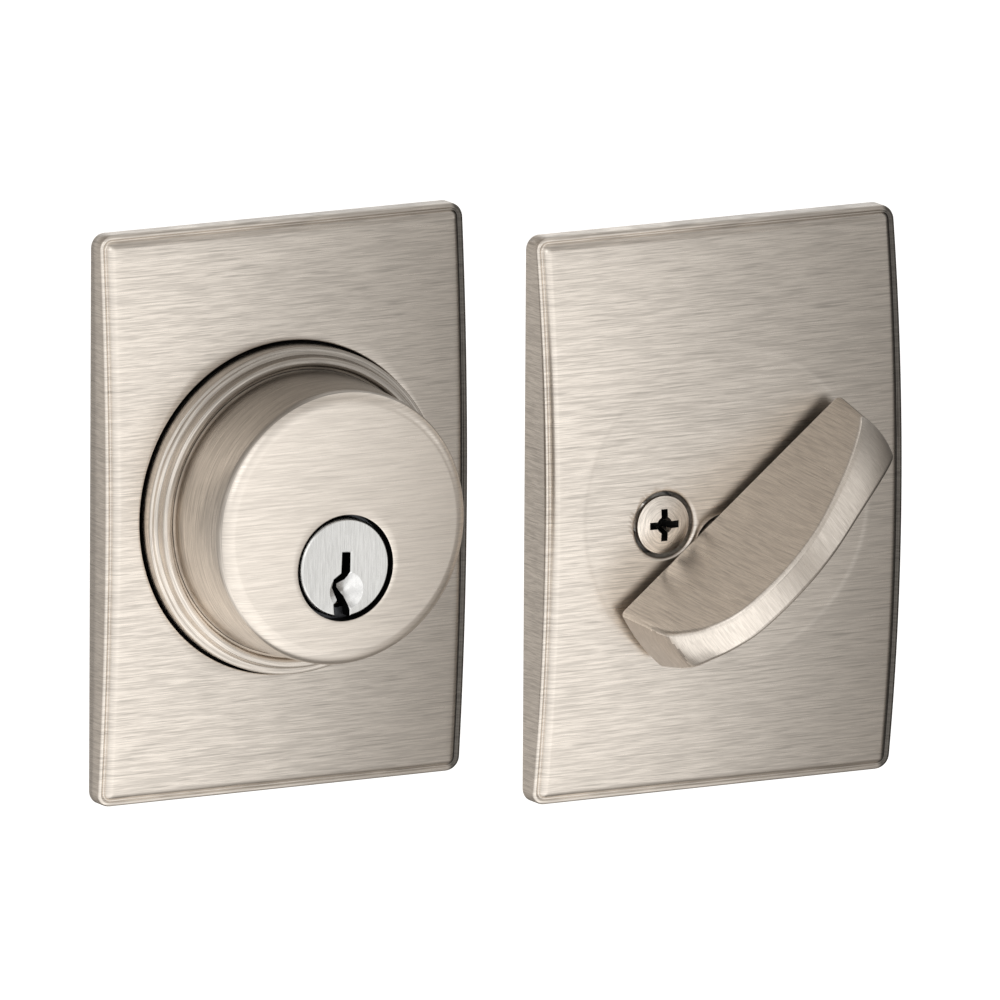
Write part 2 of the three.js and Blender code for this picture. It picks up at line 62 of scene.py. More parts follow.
class Wire:
    """A node output that takes part in shader arithmetic."""

    def __init__(self, graph: "Graph", socket: bpy.types.NodeSocket) -> None:
        """Keeps the graph and the socket.

        Args:
            graph: The graph that new nodes are added to.
            socket: The output that this wire carries.
        """
        self.graph = graph
        self.socket = socket

    def math(self, operation: str, *others: "Wire | float", swap: bool = False) -> "Wire":
        """Adds one Math node.

        Args:
            operation: The Math node's operation.
            others: The further operands.
            swap: True to put this wire second.

        Returns:
            The node's result.
        """
        operands = [self, *others]
        if swap:
            operands.reverse()
        node = self.graph.node("ShaderNodeMath", {"operation": operation}, dict(enumerate(operands)))
        return Wire(self.graph, node.outputs[0])

    def __add__(self, other: "Wire | float") -> "Wire":
        """Adds."""
        return self.math("ADD", other)

    def __sub__(self, other: "Wire | float") -> "Wire":
        """Subtracts."""
        return self.math("SUBTRACT", other)

    def __rsub__(self, other: float) -> "Wire":
        """Subtracts this from a number."""
        return self.math("SUBTRACT", other, swap=True)

    def __mul__(self, other: "Wire | float") -> "Wire":
        """Multiplies."""
        return self.math("MULTIPLY", other)

    __radd__ = __add__
    __rmul__ = __mul__

    def ramp(self, low: float, high: float, out_low: float = 0.0, out_high: float = 1.0) -> "Wire":
        """Maps low..high to out_low..out_high with soft ends.

        Args:
            low: The input that gives out_low.
            high: The input that gives out_high.
            out_low: The result at and below low.
            out_high: The result at and above high.

        Returns:
            The mapped value.
        """
        values = {"Value": self, "From Min": low, "From Max": high, "To Min": out_low, "To Max": out_high}
        node = self.graph.node("ShaderNodeMapRange", {"interpolation_type": "SMOOTHSTEP"}, values)
        return Wire(self.graph, node.outputs["Result"])


class Graph:
    """A node tree and the one way that nodes are added to it."""

    def __init__(self, tree: bpy.types.NodeTree) -> None:
        """Empties the tree.

        Args:
            tree: The tree of a material or world.
        """
        self.tree = tree
        tree.nodes.clear()

    def node(self, kind: str, settings: dict | None = None, values: dict | None = None) -> bpy.types.Node:
        """Adds a node.

        Args:
            kind: The node's type.
            settings: Attributes, and a ramp's grey "stops", set before the sockets.
            values: Socket name or index to a number, a tuple, a Wire or a socket.

        Returns:
            The node.
        """
        made = self.tree.nodes.new(kind)
        for key, value in (settings or {}).items():
            if key == "stops":
                self.place_stops(made.color_ramp, value)
            else:
                setattr(made, key, value)
        for key, value in (values or {}).items():
            if isinstance(value, Wire):
                self.tree.links.new(value.socket, made.inputs[key])
            elif isinstance(value, bpy.types.NodeSocket):
                self.tree.links.new(value, made.inputs[key])
            else:
                made.inputs[key].default_value = value
        return made

    def place_stops(self, ramp: bpy.types.ColorRamp, stops: Sequence[Point]) -> None:
        """Sets a ramp's grey stops, given as (place, level), on a smooth curve."""
        ramp.interpolation = "EASE"
        for place, _ in stops[1:-1]:
            ramp.elements.new(place)
        for element, (_, level) in zip(ramp.elements, stops):
            element.color = solid_colour((level, level, level))

    def position(self, origin: Vector) -> Wire:
        """Returns the place on the piece in millimetres from an origin, at rest."""
        place = self.node("ShaderNodeTexCoord").outputs["Object"]
        return self.vector("SCALE", self.vector("SUBTRACT", place, tuple(origin)), scale=1 / MM)

    def vector(self, operation: str, first: object, second: object = None, scale: float | None = None
               ) -> Wire:
        """Adds one Vector Math node.

        Args:
            operation: The node's operation.
            first: The first vector.
            second: The second vector, if the operation takes one.
            scale: The factor of a SCALE.

        Returns:
            The vector, or the value of a DOT_PRODUCT or LENGTH.
        """
        values = {0: first}
        if second is not None:
            values[1] = second
        if scale is not None:
            values["Scale"] = scale
        made = self.node("ShaderNodeVectorMath", {"operation": operation}, values)
        name = "Value" if operation in ("DOT_PRODUCT", "LENGTH") else "Vector"
        return Wire(self, made.outputs[name])

    def along(self, place: Wire, direction: Sequence[float]) -> Wire:
        """Returns how far a place lies along a direction."""
        return self.vector("DOT_PRODUCT", place, tuple(direction))

    def combine(self, x: Wire | float, y: Wire | float, z: Wire | float) -> Wire:
        """Returns the vector of three values."""
        return Wire(self, self.node("ShaderNodeCombineXYZ", None, {0: x, 1: y, 2: z}).outputs[0])

    def noise(self, place: Wire, scale: float, detail: float, roughness: float = 0.5) -> Wire:
        """Returns a noise value between 0 and 1.

        Args:
            place: Where the noise is read.
            scale: Cells per unit.
            detail: Octaves.
            roughness: How strong the finer octaves are.

        Returns:
            The noise.
        """
        values = {"Vector": place, "Scale": scale, "Detail": detail, "Roughness": roughness}
        return Wire(self, self.node("ShaderNodeTexNoise", None, values).outputs["Fac"])

    def mix(self, factor: Wire, first: object, second: object) -> bpy.types.NodeSocket:
        """Mixes two colours.

        Args:
            factor: 0 gives the first, 1 the second.
            first: A colour or a socket.
            second: A colour or a socket.

        Returns:
            The colour output.
        """
        values = {"Factor": factor, MIX_FIRST: first, MIX_SECOND: second}
        return self.node("ShaderNodeMix", {"data_type": "RGBA"}, values).outputs[MIX_RESULT]

    def metal(self, colour: object, rough: Wire, height: Wire, distance: float) -> None:
        """Finishes the tree as a metal.

        Args:
            colour: The base colour.
            rough: The roughness.
            height: The height of the relief.
            distance: Metres to a unit of that height.
        """
        bump = self.node("ShaderNodeBump", None, {"Strength": 1.0, "Distance": distance, "Height": height})
        values = {"Base Color": colour, "Metallic": 1.0, "Roughness": rough, "Normal": bump.outputs[0]}
        self.surface("ShaderNodeBsdfPrincipled", values)

    def surface(self, kind: str, values: dict, output: str = "ShaderNodeOutputMaterial") -> None:
        """Adds a shader and leads it to the output.

        Args:
            kind: The shader node's type.
            values: The shader's values.
            output: The output node's type.
        """
        shader = self.node(kind, None, values)
        self.node(output, None, {"Surface": shader.outputs[0]})


def new_material(name: str) -> tuple[bpy.types.Material, Graph]:
    """Returns a new material and its empty graph."""
    made = bpy.data.materials.new(name)
    made.use_nodes = True
    return made, Graph(made.node_tree)


def solid_colour(colour: Colour) -> tuple[float, float, float, float]:
    """Returns a colour with full alpha."""
    return (*colour, 1.0)


# ---- Finishes -----------------------------------------------------------------------------------


# The brushing: how much finer its second layer and its cuts are than its first, the second
# layer's share, where the cuts are read, and the scale of the wide patches.
FINE_LINES = 2.3
FINE_SHARE = 0.65
CUT_LINES = 1.7
CUT_SHIFT = (31.0, 17.0, 5.0)
PATCHES = 0.045
# Millimetres from the middle where a crown's slope is reached, and how much finer the grit is.
CROWN_REACH = 30
GRIT_FINER = 9
SIDEWAYS = (1, 0, 0)
# Satin nickel, its darker copy with painted shade, where a rose's rim with painted shade starts and where the
# rose's painted shade from left to right starts and stops in millimetres, and the way towards which painted
# shade darkens the ring and the guard's wall.
SATIN = (0.87, 0.80, 0.725)
SATIN_PAINTED_SHADE = (0.5, 0.445, 0.395)
RIM_START = 30.3
ROSE_PAINTED_SHADE = (-35.9, 40.8)
UP_RIGHT = (0.5, 0.0, 0.87)


class Grain(Enum):
    """The way that a brushed surface is brushed."""

    LEVEL = "level"
    UPRIGHT = "upright"
    ROUND = "round"
    ACROSS_TURN = "across the turn"
    DEPTH = "front to back"


@dataclass(frozen=True)
class BrushedMetal:
    """Metal with fine brush lines, and optionally painted shade and painted light in its colour.

    Attributes:
        name: The material's name.
        grain: The brushing direction.
        colour: The metal's colour.
        roughness: The mean roughness.
        streak: How strongly the lines change the colour.
        depth: Height of the lines in millimetres.
        length: Length of the lines in millimetres.
        width: Width of the coarser lines in millimetres.
        fade: Where the painted shade starts and stops darkening the colour, in millimetres, or None.
        painted_shade_factor: The colour's factor at the far end of the painted shade.
        painted_shade_way: The direction in which the painted shade darkens the colour.
        rim: The colour's factor on the right-hand rim, where painted shade darkens it.
        painted_seat: Radius of a round seat with painted shade on its left and painted light on its right, or
            0.
        crown: How far the surface tilts to either side 30 mm from the middle, as a slope.
    """

    name: str
    grain: Grain
    colour: Colour
    roughness: float = 0.3
    streak: float = 0.24
    depth: float = 0.012
    length: float = 12.0
    width: float = 0.36
    fade: Point | None = None
    painted_shade_factor: float = 1.0
    painted_shade_way: tuple[float, float, float] = (1.0, 0.0, 0.12)
    rim: float = 1.0
    painted_seat: float = 0.0
    crown: float = 0.0

    def lines(self, graph: Graph, place: Wire, angle: float) -> Wire:
        """Returns the coordinates in which a round noise becomes brush lines.

        Args:
            graph: The material's graph.
            place: The place on the piece in millimetres.
            angle: The turn's angle above level, in radians.

        Returns:
            A vector that changes slowly along the brushing and quickly across it.
        """
        slow = 1 / self.length
        fast = 1 / self.width
        if self.grain is Grain.ROUND:
            radius = graph.vector("LENGTH", graph.vector("MULTIPLY", place, (1, 0, 1)))
            across = (graph.along(place, (0, 1, 0)) + radius) * fast
            return graph.combine(graph.along(place, (slow, 0, 0)), across, graph.along(place, (0, 0, slow)))
        deep = fast if self.grain is Grain.ACROSS_TURN else slow * 2
        run = Vector((math.cos(angle), 0, math.sin(angle)))
        side = Vector((math.sin(angle), 0, -math.cos(angle)))
        forward = Vector((0, -1, 0))
        axes = {
            Grain.LEVEL: (Vector((1, 0, 0)), Vector((0, 0, 1)), forward),
            Grain.UPRIGHT: (Vector((0, 0, 1)), Vector((1, 0, 0)), forward),
            Grain.ACROSS_TURN: (side, run, forward),
            Grain.DEPTH: (forward, run, side),
        }[self.grain]
        along, first, second = axes
        parts = (along * slow, first * fast, second * deep)
        return graph.combine(*(graph.along(place, part) for part in parts))

    def material(self, origin: Vector, angle: float = 0.0) -> bpy.types.Material:
        """Builds the material.

        Args:
            origin: The centre of the unit in the row frame, in metres.
            angle: The turn's angle above level, in radians.

        Returns:
            The material.
        """
        made, graph = new_material(self.name)
        place = graph.position(origin)
        lines = self.lines(graph, place, angle)
        coarse = graph.noise(lines, 1.0, 2.0, 0.5)
        fine = graph.noise(lines, FINE_LINES, 3.0, 0.65)
        cuts = graph.noise(graph.vector("ADD", lines, CUT_SHIFT), CUT_LINES, 1.0, 0.4).ramp(0.58, 0.66)
        patches = graph.noise(place, PATCHES, 2.0)
        level = coarse * (1 - FINE_SHARE) + fine * FINE_SHARE
        shade = level.ramp(0.4, 0.6, 1 - self.streak, 1.0)
        shade = shade * (1 - cuts * self.streak * 0.7) * patches.ramp(0.3, 0.7, 0.96, 1.0)
        rough = level.ramp(0.35, 0.65, self.roughness + 0.06, self.roughness - 0.03)
        # Painted shade: the colour darkens across the piece in one direction, standing in for light falling
        # off.
        if self.fade:
            shade = shade * graph.along(place, self.painted_shade_way).ramp(*self.fade, 1.0, self.painted_shade_factor)
        # Painted shade darkens the right-hand rim.
        if self.rim < 1:
            shade = shade * graph.along(place, SIDEWAYS).ramp(RIM_START, RIM_START + 1.0, 1.0, self.rim)
        # Painted shade on the left of the round seat and painted light on its right.
        if self.painted_seat:
            radius = graph.vector("LENGTH", graph.vector("MULTIPLY", place, (1, 0, 1)))
            inside = radius.ramp(self.painted_seat - 0.4, self.painted_seat + 0.4, 1.0, 0.0)
            side = graph.along(place, SIDEWAYS).ramp(-self.painted_seat, self.painted_seat, 0.95, 1.1)
            shade = shade * (1 + inside * (side - 1))
        height = level * self.depth
        if self.crown:
            across = graph.along(place, SIDEWAYS)
            height = height - across * across * (self.crown / (2 * CROWN_REACH))
        colour = graph.vector("MULTIPLY", graph.combine(shade, shade, shade), self.colour)
        graph.metal(colour, rough, height, MM)
        return made


@dataclass(frozen=True)
class PlainMetal:
    """Cast, plated, turned or hardened metal with a fine mottle.

    Attributes:
        name: The material's name.
        colour: The metal's colour.
        second: The colour of the mottle's other half.
        roughness: The mean roughness.
        mottle: Size of the mottle in millimetres.
        depth: Height of the mottle in millimetres.
    """

    name: str
    colour: Colour
    second: Colour
    roughness: float = 0.4
    mottle: float = 1.5
    depth: float = 0.01

    def material(self) -> bpy.types.Material:
        """Builds and returns the material."""
        made, graph = new_material(self.name)
        place = graph.position(Vector((0, 0, 0)))
        cloud = graph.noise(place, 1 / self.mottle, 4.0, 0.6)
        grit = graph.noise(place, GRIT_FINER / self.mottle, 3.0, 0.6)
        colour = graph.mix(cloud.ramp(0.35, 0.65), solid_colour(self.colour), solid_colour(self.second))
        rough = grit.ramp(0.3, 0.7, self.roughness - 0.06, self.roughness + 0.1)
        graph.metal(colour, rough, cloud * 0.4 + grit * 0.6, self.depth * MM)
        return made


# ---- Mesh building ------------------------------------------------------------------------------


def from_data(name: str, points: Sequence[Sequence[float]], faces: Sequence[Sequence[int]]
              ) -> bpy.types.Object:
    """Makes a piece from points in millimetres in the row frame.

    Args:
        name: The piece's name.
        points: The vertices.
        faces: Vertex indices of each face.

    Returns:
        The new object, its faces turned outwards and shaded smooth.
    """
    mesh = bpy.data.meshes.new(name)
    mesh.from_pydata([tuple(c * MM for c in p) for p in points], [], faces)
    build = bmesh.new()
    build.from_mesh(mesh)
    bmesh.ops.remove_doubles(build, verts=build.verts, dist=WELD)
    bmesh.ops.recalc_face_normals(build, faces=build.faces)
    build.to_mesh(mesh)
    build.free()
    mesh.shade_smooth()
    piece = bpy.data.objects.new(name, mesh)
    bpy.context.scene.collection.objects.link(piece)
    return piece


def lofted(name: str, loops: Sequence[Loop], closed: bool = False) -> bpy.types.Object:
    """Joins loops that have the same number of points into a skin.

    Args:
        name: The piece's name.
        loops: The loops, in order.
        closed: True to join the last loop to the first; otherwise both ends are capped.

    Returns:
        The piece.
    """
    count = len(loops[0])
    points = [point for loop in loops for point in loop]
    faces: list[tuple[int, ...]] = []
    pairs = list(zip(range(len(loops)), range(1, len(loops))))
    if closed:
        pairs.append((len(loops) - 1, 0))
    else:
        faces.append(tuple(range(count)))
        last = (len(loops) - 1) * count
        faces.append(tuple(range(last + count - 1, last - 1, -1)))
    for first, second in pairs:
        low, high = first * count, second * count
        for k in range(count):
            after = (k + 1) % count
            faces.append((low + k, low + after, high + after, high + k))
    return from_data(name, points, faces)


def fillet(points: Sequence[Point], radii: dict[int, float], steps: int = 6) -> list[Point]:
    """Rounds corners of a closed outline.

    Args:
        points: The outline's corners.
        radii: Corner index to radius.
        steps: Steps in each arc.

    Returns:
        The outline with arcs in place of those corners.
    """
    made: list[Point] = []
    count = len(points)
    for i, corner in enumerate(points):
        radius = radii.get(i, 0.0)
        here = Vector(corner)
        to_last = (Vector(points[i - 1]) - here).normalized()
        to_next = (Vector(points[(i + 1) % count]) - here).normalized()
        half = to_last.angle(to_next) / 2
        if not radius or half > math.pi / 2 - 0.01:
            made.append(tuple(corner))
            continue
        centre = here + (to_last + to_next).normalized() * (radius / math.sin(half))
        reach = radius / math.tan(half)
        start = here + to_last * reach - centre
        end = here + to_next * reach - centre
        sweep = math.pi - 2 * half
        for step in range(steps + 1):
            t = step / steps
            spoke = (start * math.sin((1 - t) * sweep) + end * math.sin(t * sweep)) / math.sin(sweep)
            made.append(tuple(centre + spoke))
    return made


def spline_point(before: Point, start: Point, end: Point, after: Point, share: float) -> Point:
    """Returns a point on a smooth curve between start and end.

    Args:
        before: The point before start.
        start: Where the curve is at a share of 0.
        end: Where the curve is at a share of 1.
        after: The point after end.
        share: The place on the curve.

    Returns:
        The point.
    """
    made = []
    for a, b, c, d in zip(before, start, end, after):
        bend = 2 * a - 5 * b + 4 * c - d
        twist = 3 * b - a - 3 * c + d
        made.append(b + 0.5 * share * (c - a + share * (bend + share * twist)))
    return (made[0], made[1])


def curve_through(stops: Sequence[Point], place: float) -> float:
    """Returns the height of a smooth curve through evenly spaced stops.

    Args:
        stops: Points as (place, height).
        place: Where the height is read.

    Returns:
        The height.
    """
    pitch = stops[1][0] - stops[0][0]
    index = min(max(int((place - stops[0][0]) / pitch), 0), len(stops) - 2)
    start, end = stops[index], stops[index + 1]
    before = stops[index - 1] if index else (start[0] - pitch, 2 * start[1] - end[1])
    last = index + 2 >= len(stops)
    after = (end[0] + pitch, 2 * end[1] - start[1]) if last else stops[index + 2]
    return spline_point(before, start, end, after, (place - start[0]) / pitch)[1]


def offset(outline: Sequence[Point], distance: float) -> list[Point]:
    """Moves each corner of an anticlockwise outline outwards, keeping the sides parallel.

    Args:
        outline: The corners.
        distance: How far the sides move; negative moves them in.

    Returns:
        The moved corners.
    """
    made = []
    count = len(outline)
    for i, corner in enumerate(outline):
        before = (Vector(corner) - Vector(outline[i - 1])).normalized()
        after = (Vector(outline[(i + 1) % count]) - Vector(corner)).normalized()
        first = Vector((before.y, -before.x))
        second = Vector((after.y, -after.x))
        mitre = (first + second) / max(1 + first.dot(second), 0.35)
        made.append(tuple(Vector(corner) + mitre * distance))
    return made


def circle(radius: float, depth: float, centre: Point, segments: int) -> Loop:
    """Returns a level circle's points about the forward axis at a centre in x and z."""
    return [(centre[0] + radius * math.cos(2 * math.pi * i / segments), -depth,
             centre[1] + radius * math.sin(2 * math.pi * i / segments)) for i in range(segments)]


def turned(name: str, profile: Sequence[Point], centre: Point, segments: int = 160) -> bpy.types.Object:
    """Turns a profile about the forward axis.

    Args:
        name: The piece's name.
        profile: Corners as (radius, depth forward of the door). It closes round a bore, or starts and ends
            at a radius of 0 on the axis.
        centre: The axis as (x, z).
        segments: Facets round the axis.

    Returns:
        The piece.
    """
    solid = profile[0][0] < AXIS_RADIUS
    loops = [circle(max(radius, AXIS_RADIUS), depth, centre, segments) for radius, depth in profile]
    return lofted(name, loops, closed=not solid)


def prism(name: str, corners: Sequence[Point], rounding: float, sections: Sequence[Point], centre: Point
          ) -> bpy.types.Object:
    """Lofts an outline in x and z through depths.

    Args:
        name: The piece's name.
        corners: The anticlockwise outline's corners about the centre.
        rounding: The radius of every corner.
        sections: Each section's (offset of the outline, depth).
        centre: The centre as (x, z).

    Returns:
        The piece.
    """
    radii = dict.fromkeys(range(len(corners)), rounding)
    loops = [[(x + centre[0], -depth, z + centre[1]) for x, z in fillet(offset(corners, distance), radii, 3)]
             for distance, depth in sections]
    return lofted(name, loops)


def apply_modifiers(piece: bpy.types.Object) -> None:
    """Bakes a piece's modifiers into its mesh."""
    bpy.context.view_layer.update()
    graph = bpy.context.evaluated_depsgraph_get()
    mesh = bpy.data.meshes.new_from_object(piece.evaluated_get(graph), depsgraph=graph)
    piece.modifiers.clear()
    old = piece.data
    piece.data = mesh
    bpy.data.meshes.remove(old)


def carve(piece: bpy.types.Object, *tools: bpy.types.Object, operation: str = "DIFFERENCE") -> None:
    """Cuts tools out of a piece, or joins them to it, and uses them up.

    Args:
        piece: The piece that is changed.
        tools: The solids that are used up.
        operation: The boolean's operation.
    """
    for tool in tools:
        change = piece.modifiers.new("carve", "BOOLEAN")
        change.solver = "EXACT"
        change.operation = operation
        change.object = tool
    apply_modifiers(piece)
    for tool in tools:
        bpy.data.objects.remove(tool)


def soften(piece: bpy.types.Object, width: float = 0.0, angle: float = 35.0) -> None:
    """Rounds a piece's edges and evens its shading.

    Args:
        piece: The piece.
        width: The rounding's width in millimetres, or 0 for none.
        angle: Edges sharper than this are rounded, or without rounding stay sharp, in degrees.
    """
    if width:
        bevel = piece.modifiers.new("bevel", "BEVEL")
        bevel.width = width * MM
        bevel.segments = 3
        bevel.limit_method = "ANGLE"
        bevel.angle_limit = math.radians(angle)
        apply_modifiers(piece)
    piece.data.shade_smooth()
    piece.data.set_sharp_from_angle(angle=math.radians(angle))
    even = piece.modifiers.new("even", "WEIGHTED_NORMAL")
    even.keep_sharp = True
    apply_modifiers(piece)


def fit_piece(piece: bpy.types.Object, body: str, slot: str, nodes: Sequence[str],
              *materials: bpy.types.Material) -> None:
    """Dresses a piece, hangs it on its body and hides the CAD nodes that it replaces.

    Args:
        piece: The piece.
        body: The body that it rides on.
        slot: Not used.
        nodes: The CAD nodes that it replaces.
        materials: The materials, in the order of the mesh's material indices.
    """
    chosen = [polygon.material_index for polygon in piece.data.polygons]
    piece.data.materials.clear()
    for material in materials:
        piece.data.materials.append(material)
    if len(materials) > 1:
        piece.data.polygons.foreach_set("material_index", chosen)
    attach(piece, body)
    if nodes:
        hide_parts(*nodes)
    LOG.info("%s: %d faces on %s", piece.name, len(piece.data.polygons), body)


def refined(node: str, name: str, width: float) -> bpy.types.Object:
    """Copies a CAD node as a piece with rounded edges.

    Args:
        node: The CAD node.
        name: The piece's name.
        width: The width of the rounding in millimetres.

    Returns:
        The piece.
    """
    piece = bpy.data.objects.new(name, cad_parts[node].data.copy())
    bpy.context.scene.collection.objects.link(piece)
    build = bmesh.new()
    build.from_mesh(piece.data)
    bmesh.ops.remove_doubles(build, verts=build.verts, dist=WELD_IMPORTED)
    bmesh.ops.dissolve_limit(build, angle_limit=math.radians(1), verts=build.verts, edges=build.edges)
    build.to_mesh(piece.data)
    build.free()
    soften(piece, width)
    return piece


def dress(material: bpy.types.Material, *nodes: str) -> None:
    """Gives a material to CAD nodes that stay as they are."""
    for node in nodes:
        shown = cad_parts[node]
        for index in range(len(shown.data.materials)):
            shown.material_slots[index].link = "OBJECT"
            shown.material_slots[index].material = material
        LOG.info("%s: kept, with %s", node, material.name)


# ---- Materials ----------------------------------------------------------------------------------


@dataclass(frozen=True)
class Finishes:
    """The metals that do not follow a unit's own brushing."""

    zinc: PlainMetal = PlainMetal(
        "zinc_casting", (0.42, 0.42, 0.41), (0.34, 0.34, 0.335), 0.5, 2.2, 0.02)
    brass: PlainMetal = PlainMetal(
        "turned_brass", (0.72, 0.56, 0.29), (0.62, 0.47, 0.23), 0.32, 1.6, 0.006)
    steel: PlainMetal = PlainMetal(
        "zinc_plated_steel", (0.62, 0.63, 0.64), (0.53, 0.54, 0.56), 0.36, 1.8, 0.008)
    hard: PlainMetal = PlainMetal(
        "hardened_steel", (0.16, 0.165, 0.18), (0.11, 0.115, 0.125), 0.38, 1.4, 0.01)
    # Near-black painted shadow for recesses and hollows.
    shaded: PlainMetal = PlainMetal(
        "painted_shadow_recess", (0.02, 0.019, 0.018), (0.012, 0.012, 0.012), 0.6, 1.0, 0.01)
    spring: PlainMetal = PlainMetal(
        "spring_steel", (0.4, 0.41, 0.43), (0.3, 0.31, 0.33), 0.3, 1.2, 0.005)


@dataclass
class Unit:
    """What both units share: their place, their metals and the way that pieces are finished."""

    centre: Point
    finishes: Finishes = Finishes()

    def origin(self) -> Vector:
        """Returns the unit's middle in metres."""
        return Vector((self.centre[0], 0, self.centre[1])) * MM

    def metal(self, name: str, grain: Grain, angle: float = 0.0, **changes: object) -> bpy.types.Material:
        """Returns the satin nickel with a grain of its own.

        Args:
            name: What the material is for.
            grain: The brushing direction.
            angle: The turn's angle above level, in radians.
            changes: Fields of BrushedMetal that differ.

        Returns:
            The material.
        """
        settings = {"colour": SATIN, **changes}
        return BrushedMetal(f"satin_nickel_{name}", grain, **settings).material(self.origin(), angle)

    def nickel(self, piece: bpy.types.Object, node: str, *materials: bpy.types.Material) -> None:
        """Finishes a satin nickel piece that stays with the door, with its painted shadow for recesses last.
        """
        shaded = self.finishes.shaded.material()
        fit_piece(piece, "mounted_trims", "satin_nickel", [node], *materials, shaded)

    def stock(self, node: str, making: str, width: float, body: str, slot: str,
              material: bpy.types.Material) -> None:
        """Adds the piece that a CAD node becomes with rounded edges.

        Args:
            node: The CAD node.
            making: How the piece is made, for its name.
            width: The rounding in millimetres.
            body: The body that it rides on.
            slot: The record's material slot.
            material: The material.
        """
        fit_piece(refined(node, f"{node}_{making}", width), body, slot, [node], material)


# ---- Roses --------------------------------------------------------------------------------------


# Limits on a face's forward normal, and the depth in the plug where painted shadow starts.
STEEP = 0.5
FACES_FRONT = -0.25
GUARD_FRONT = -0.6
PLUG_SHADE_FROM = 0.45


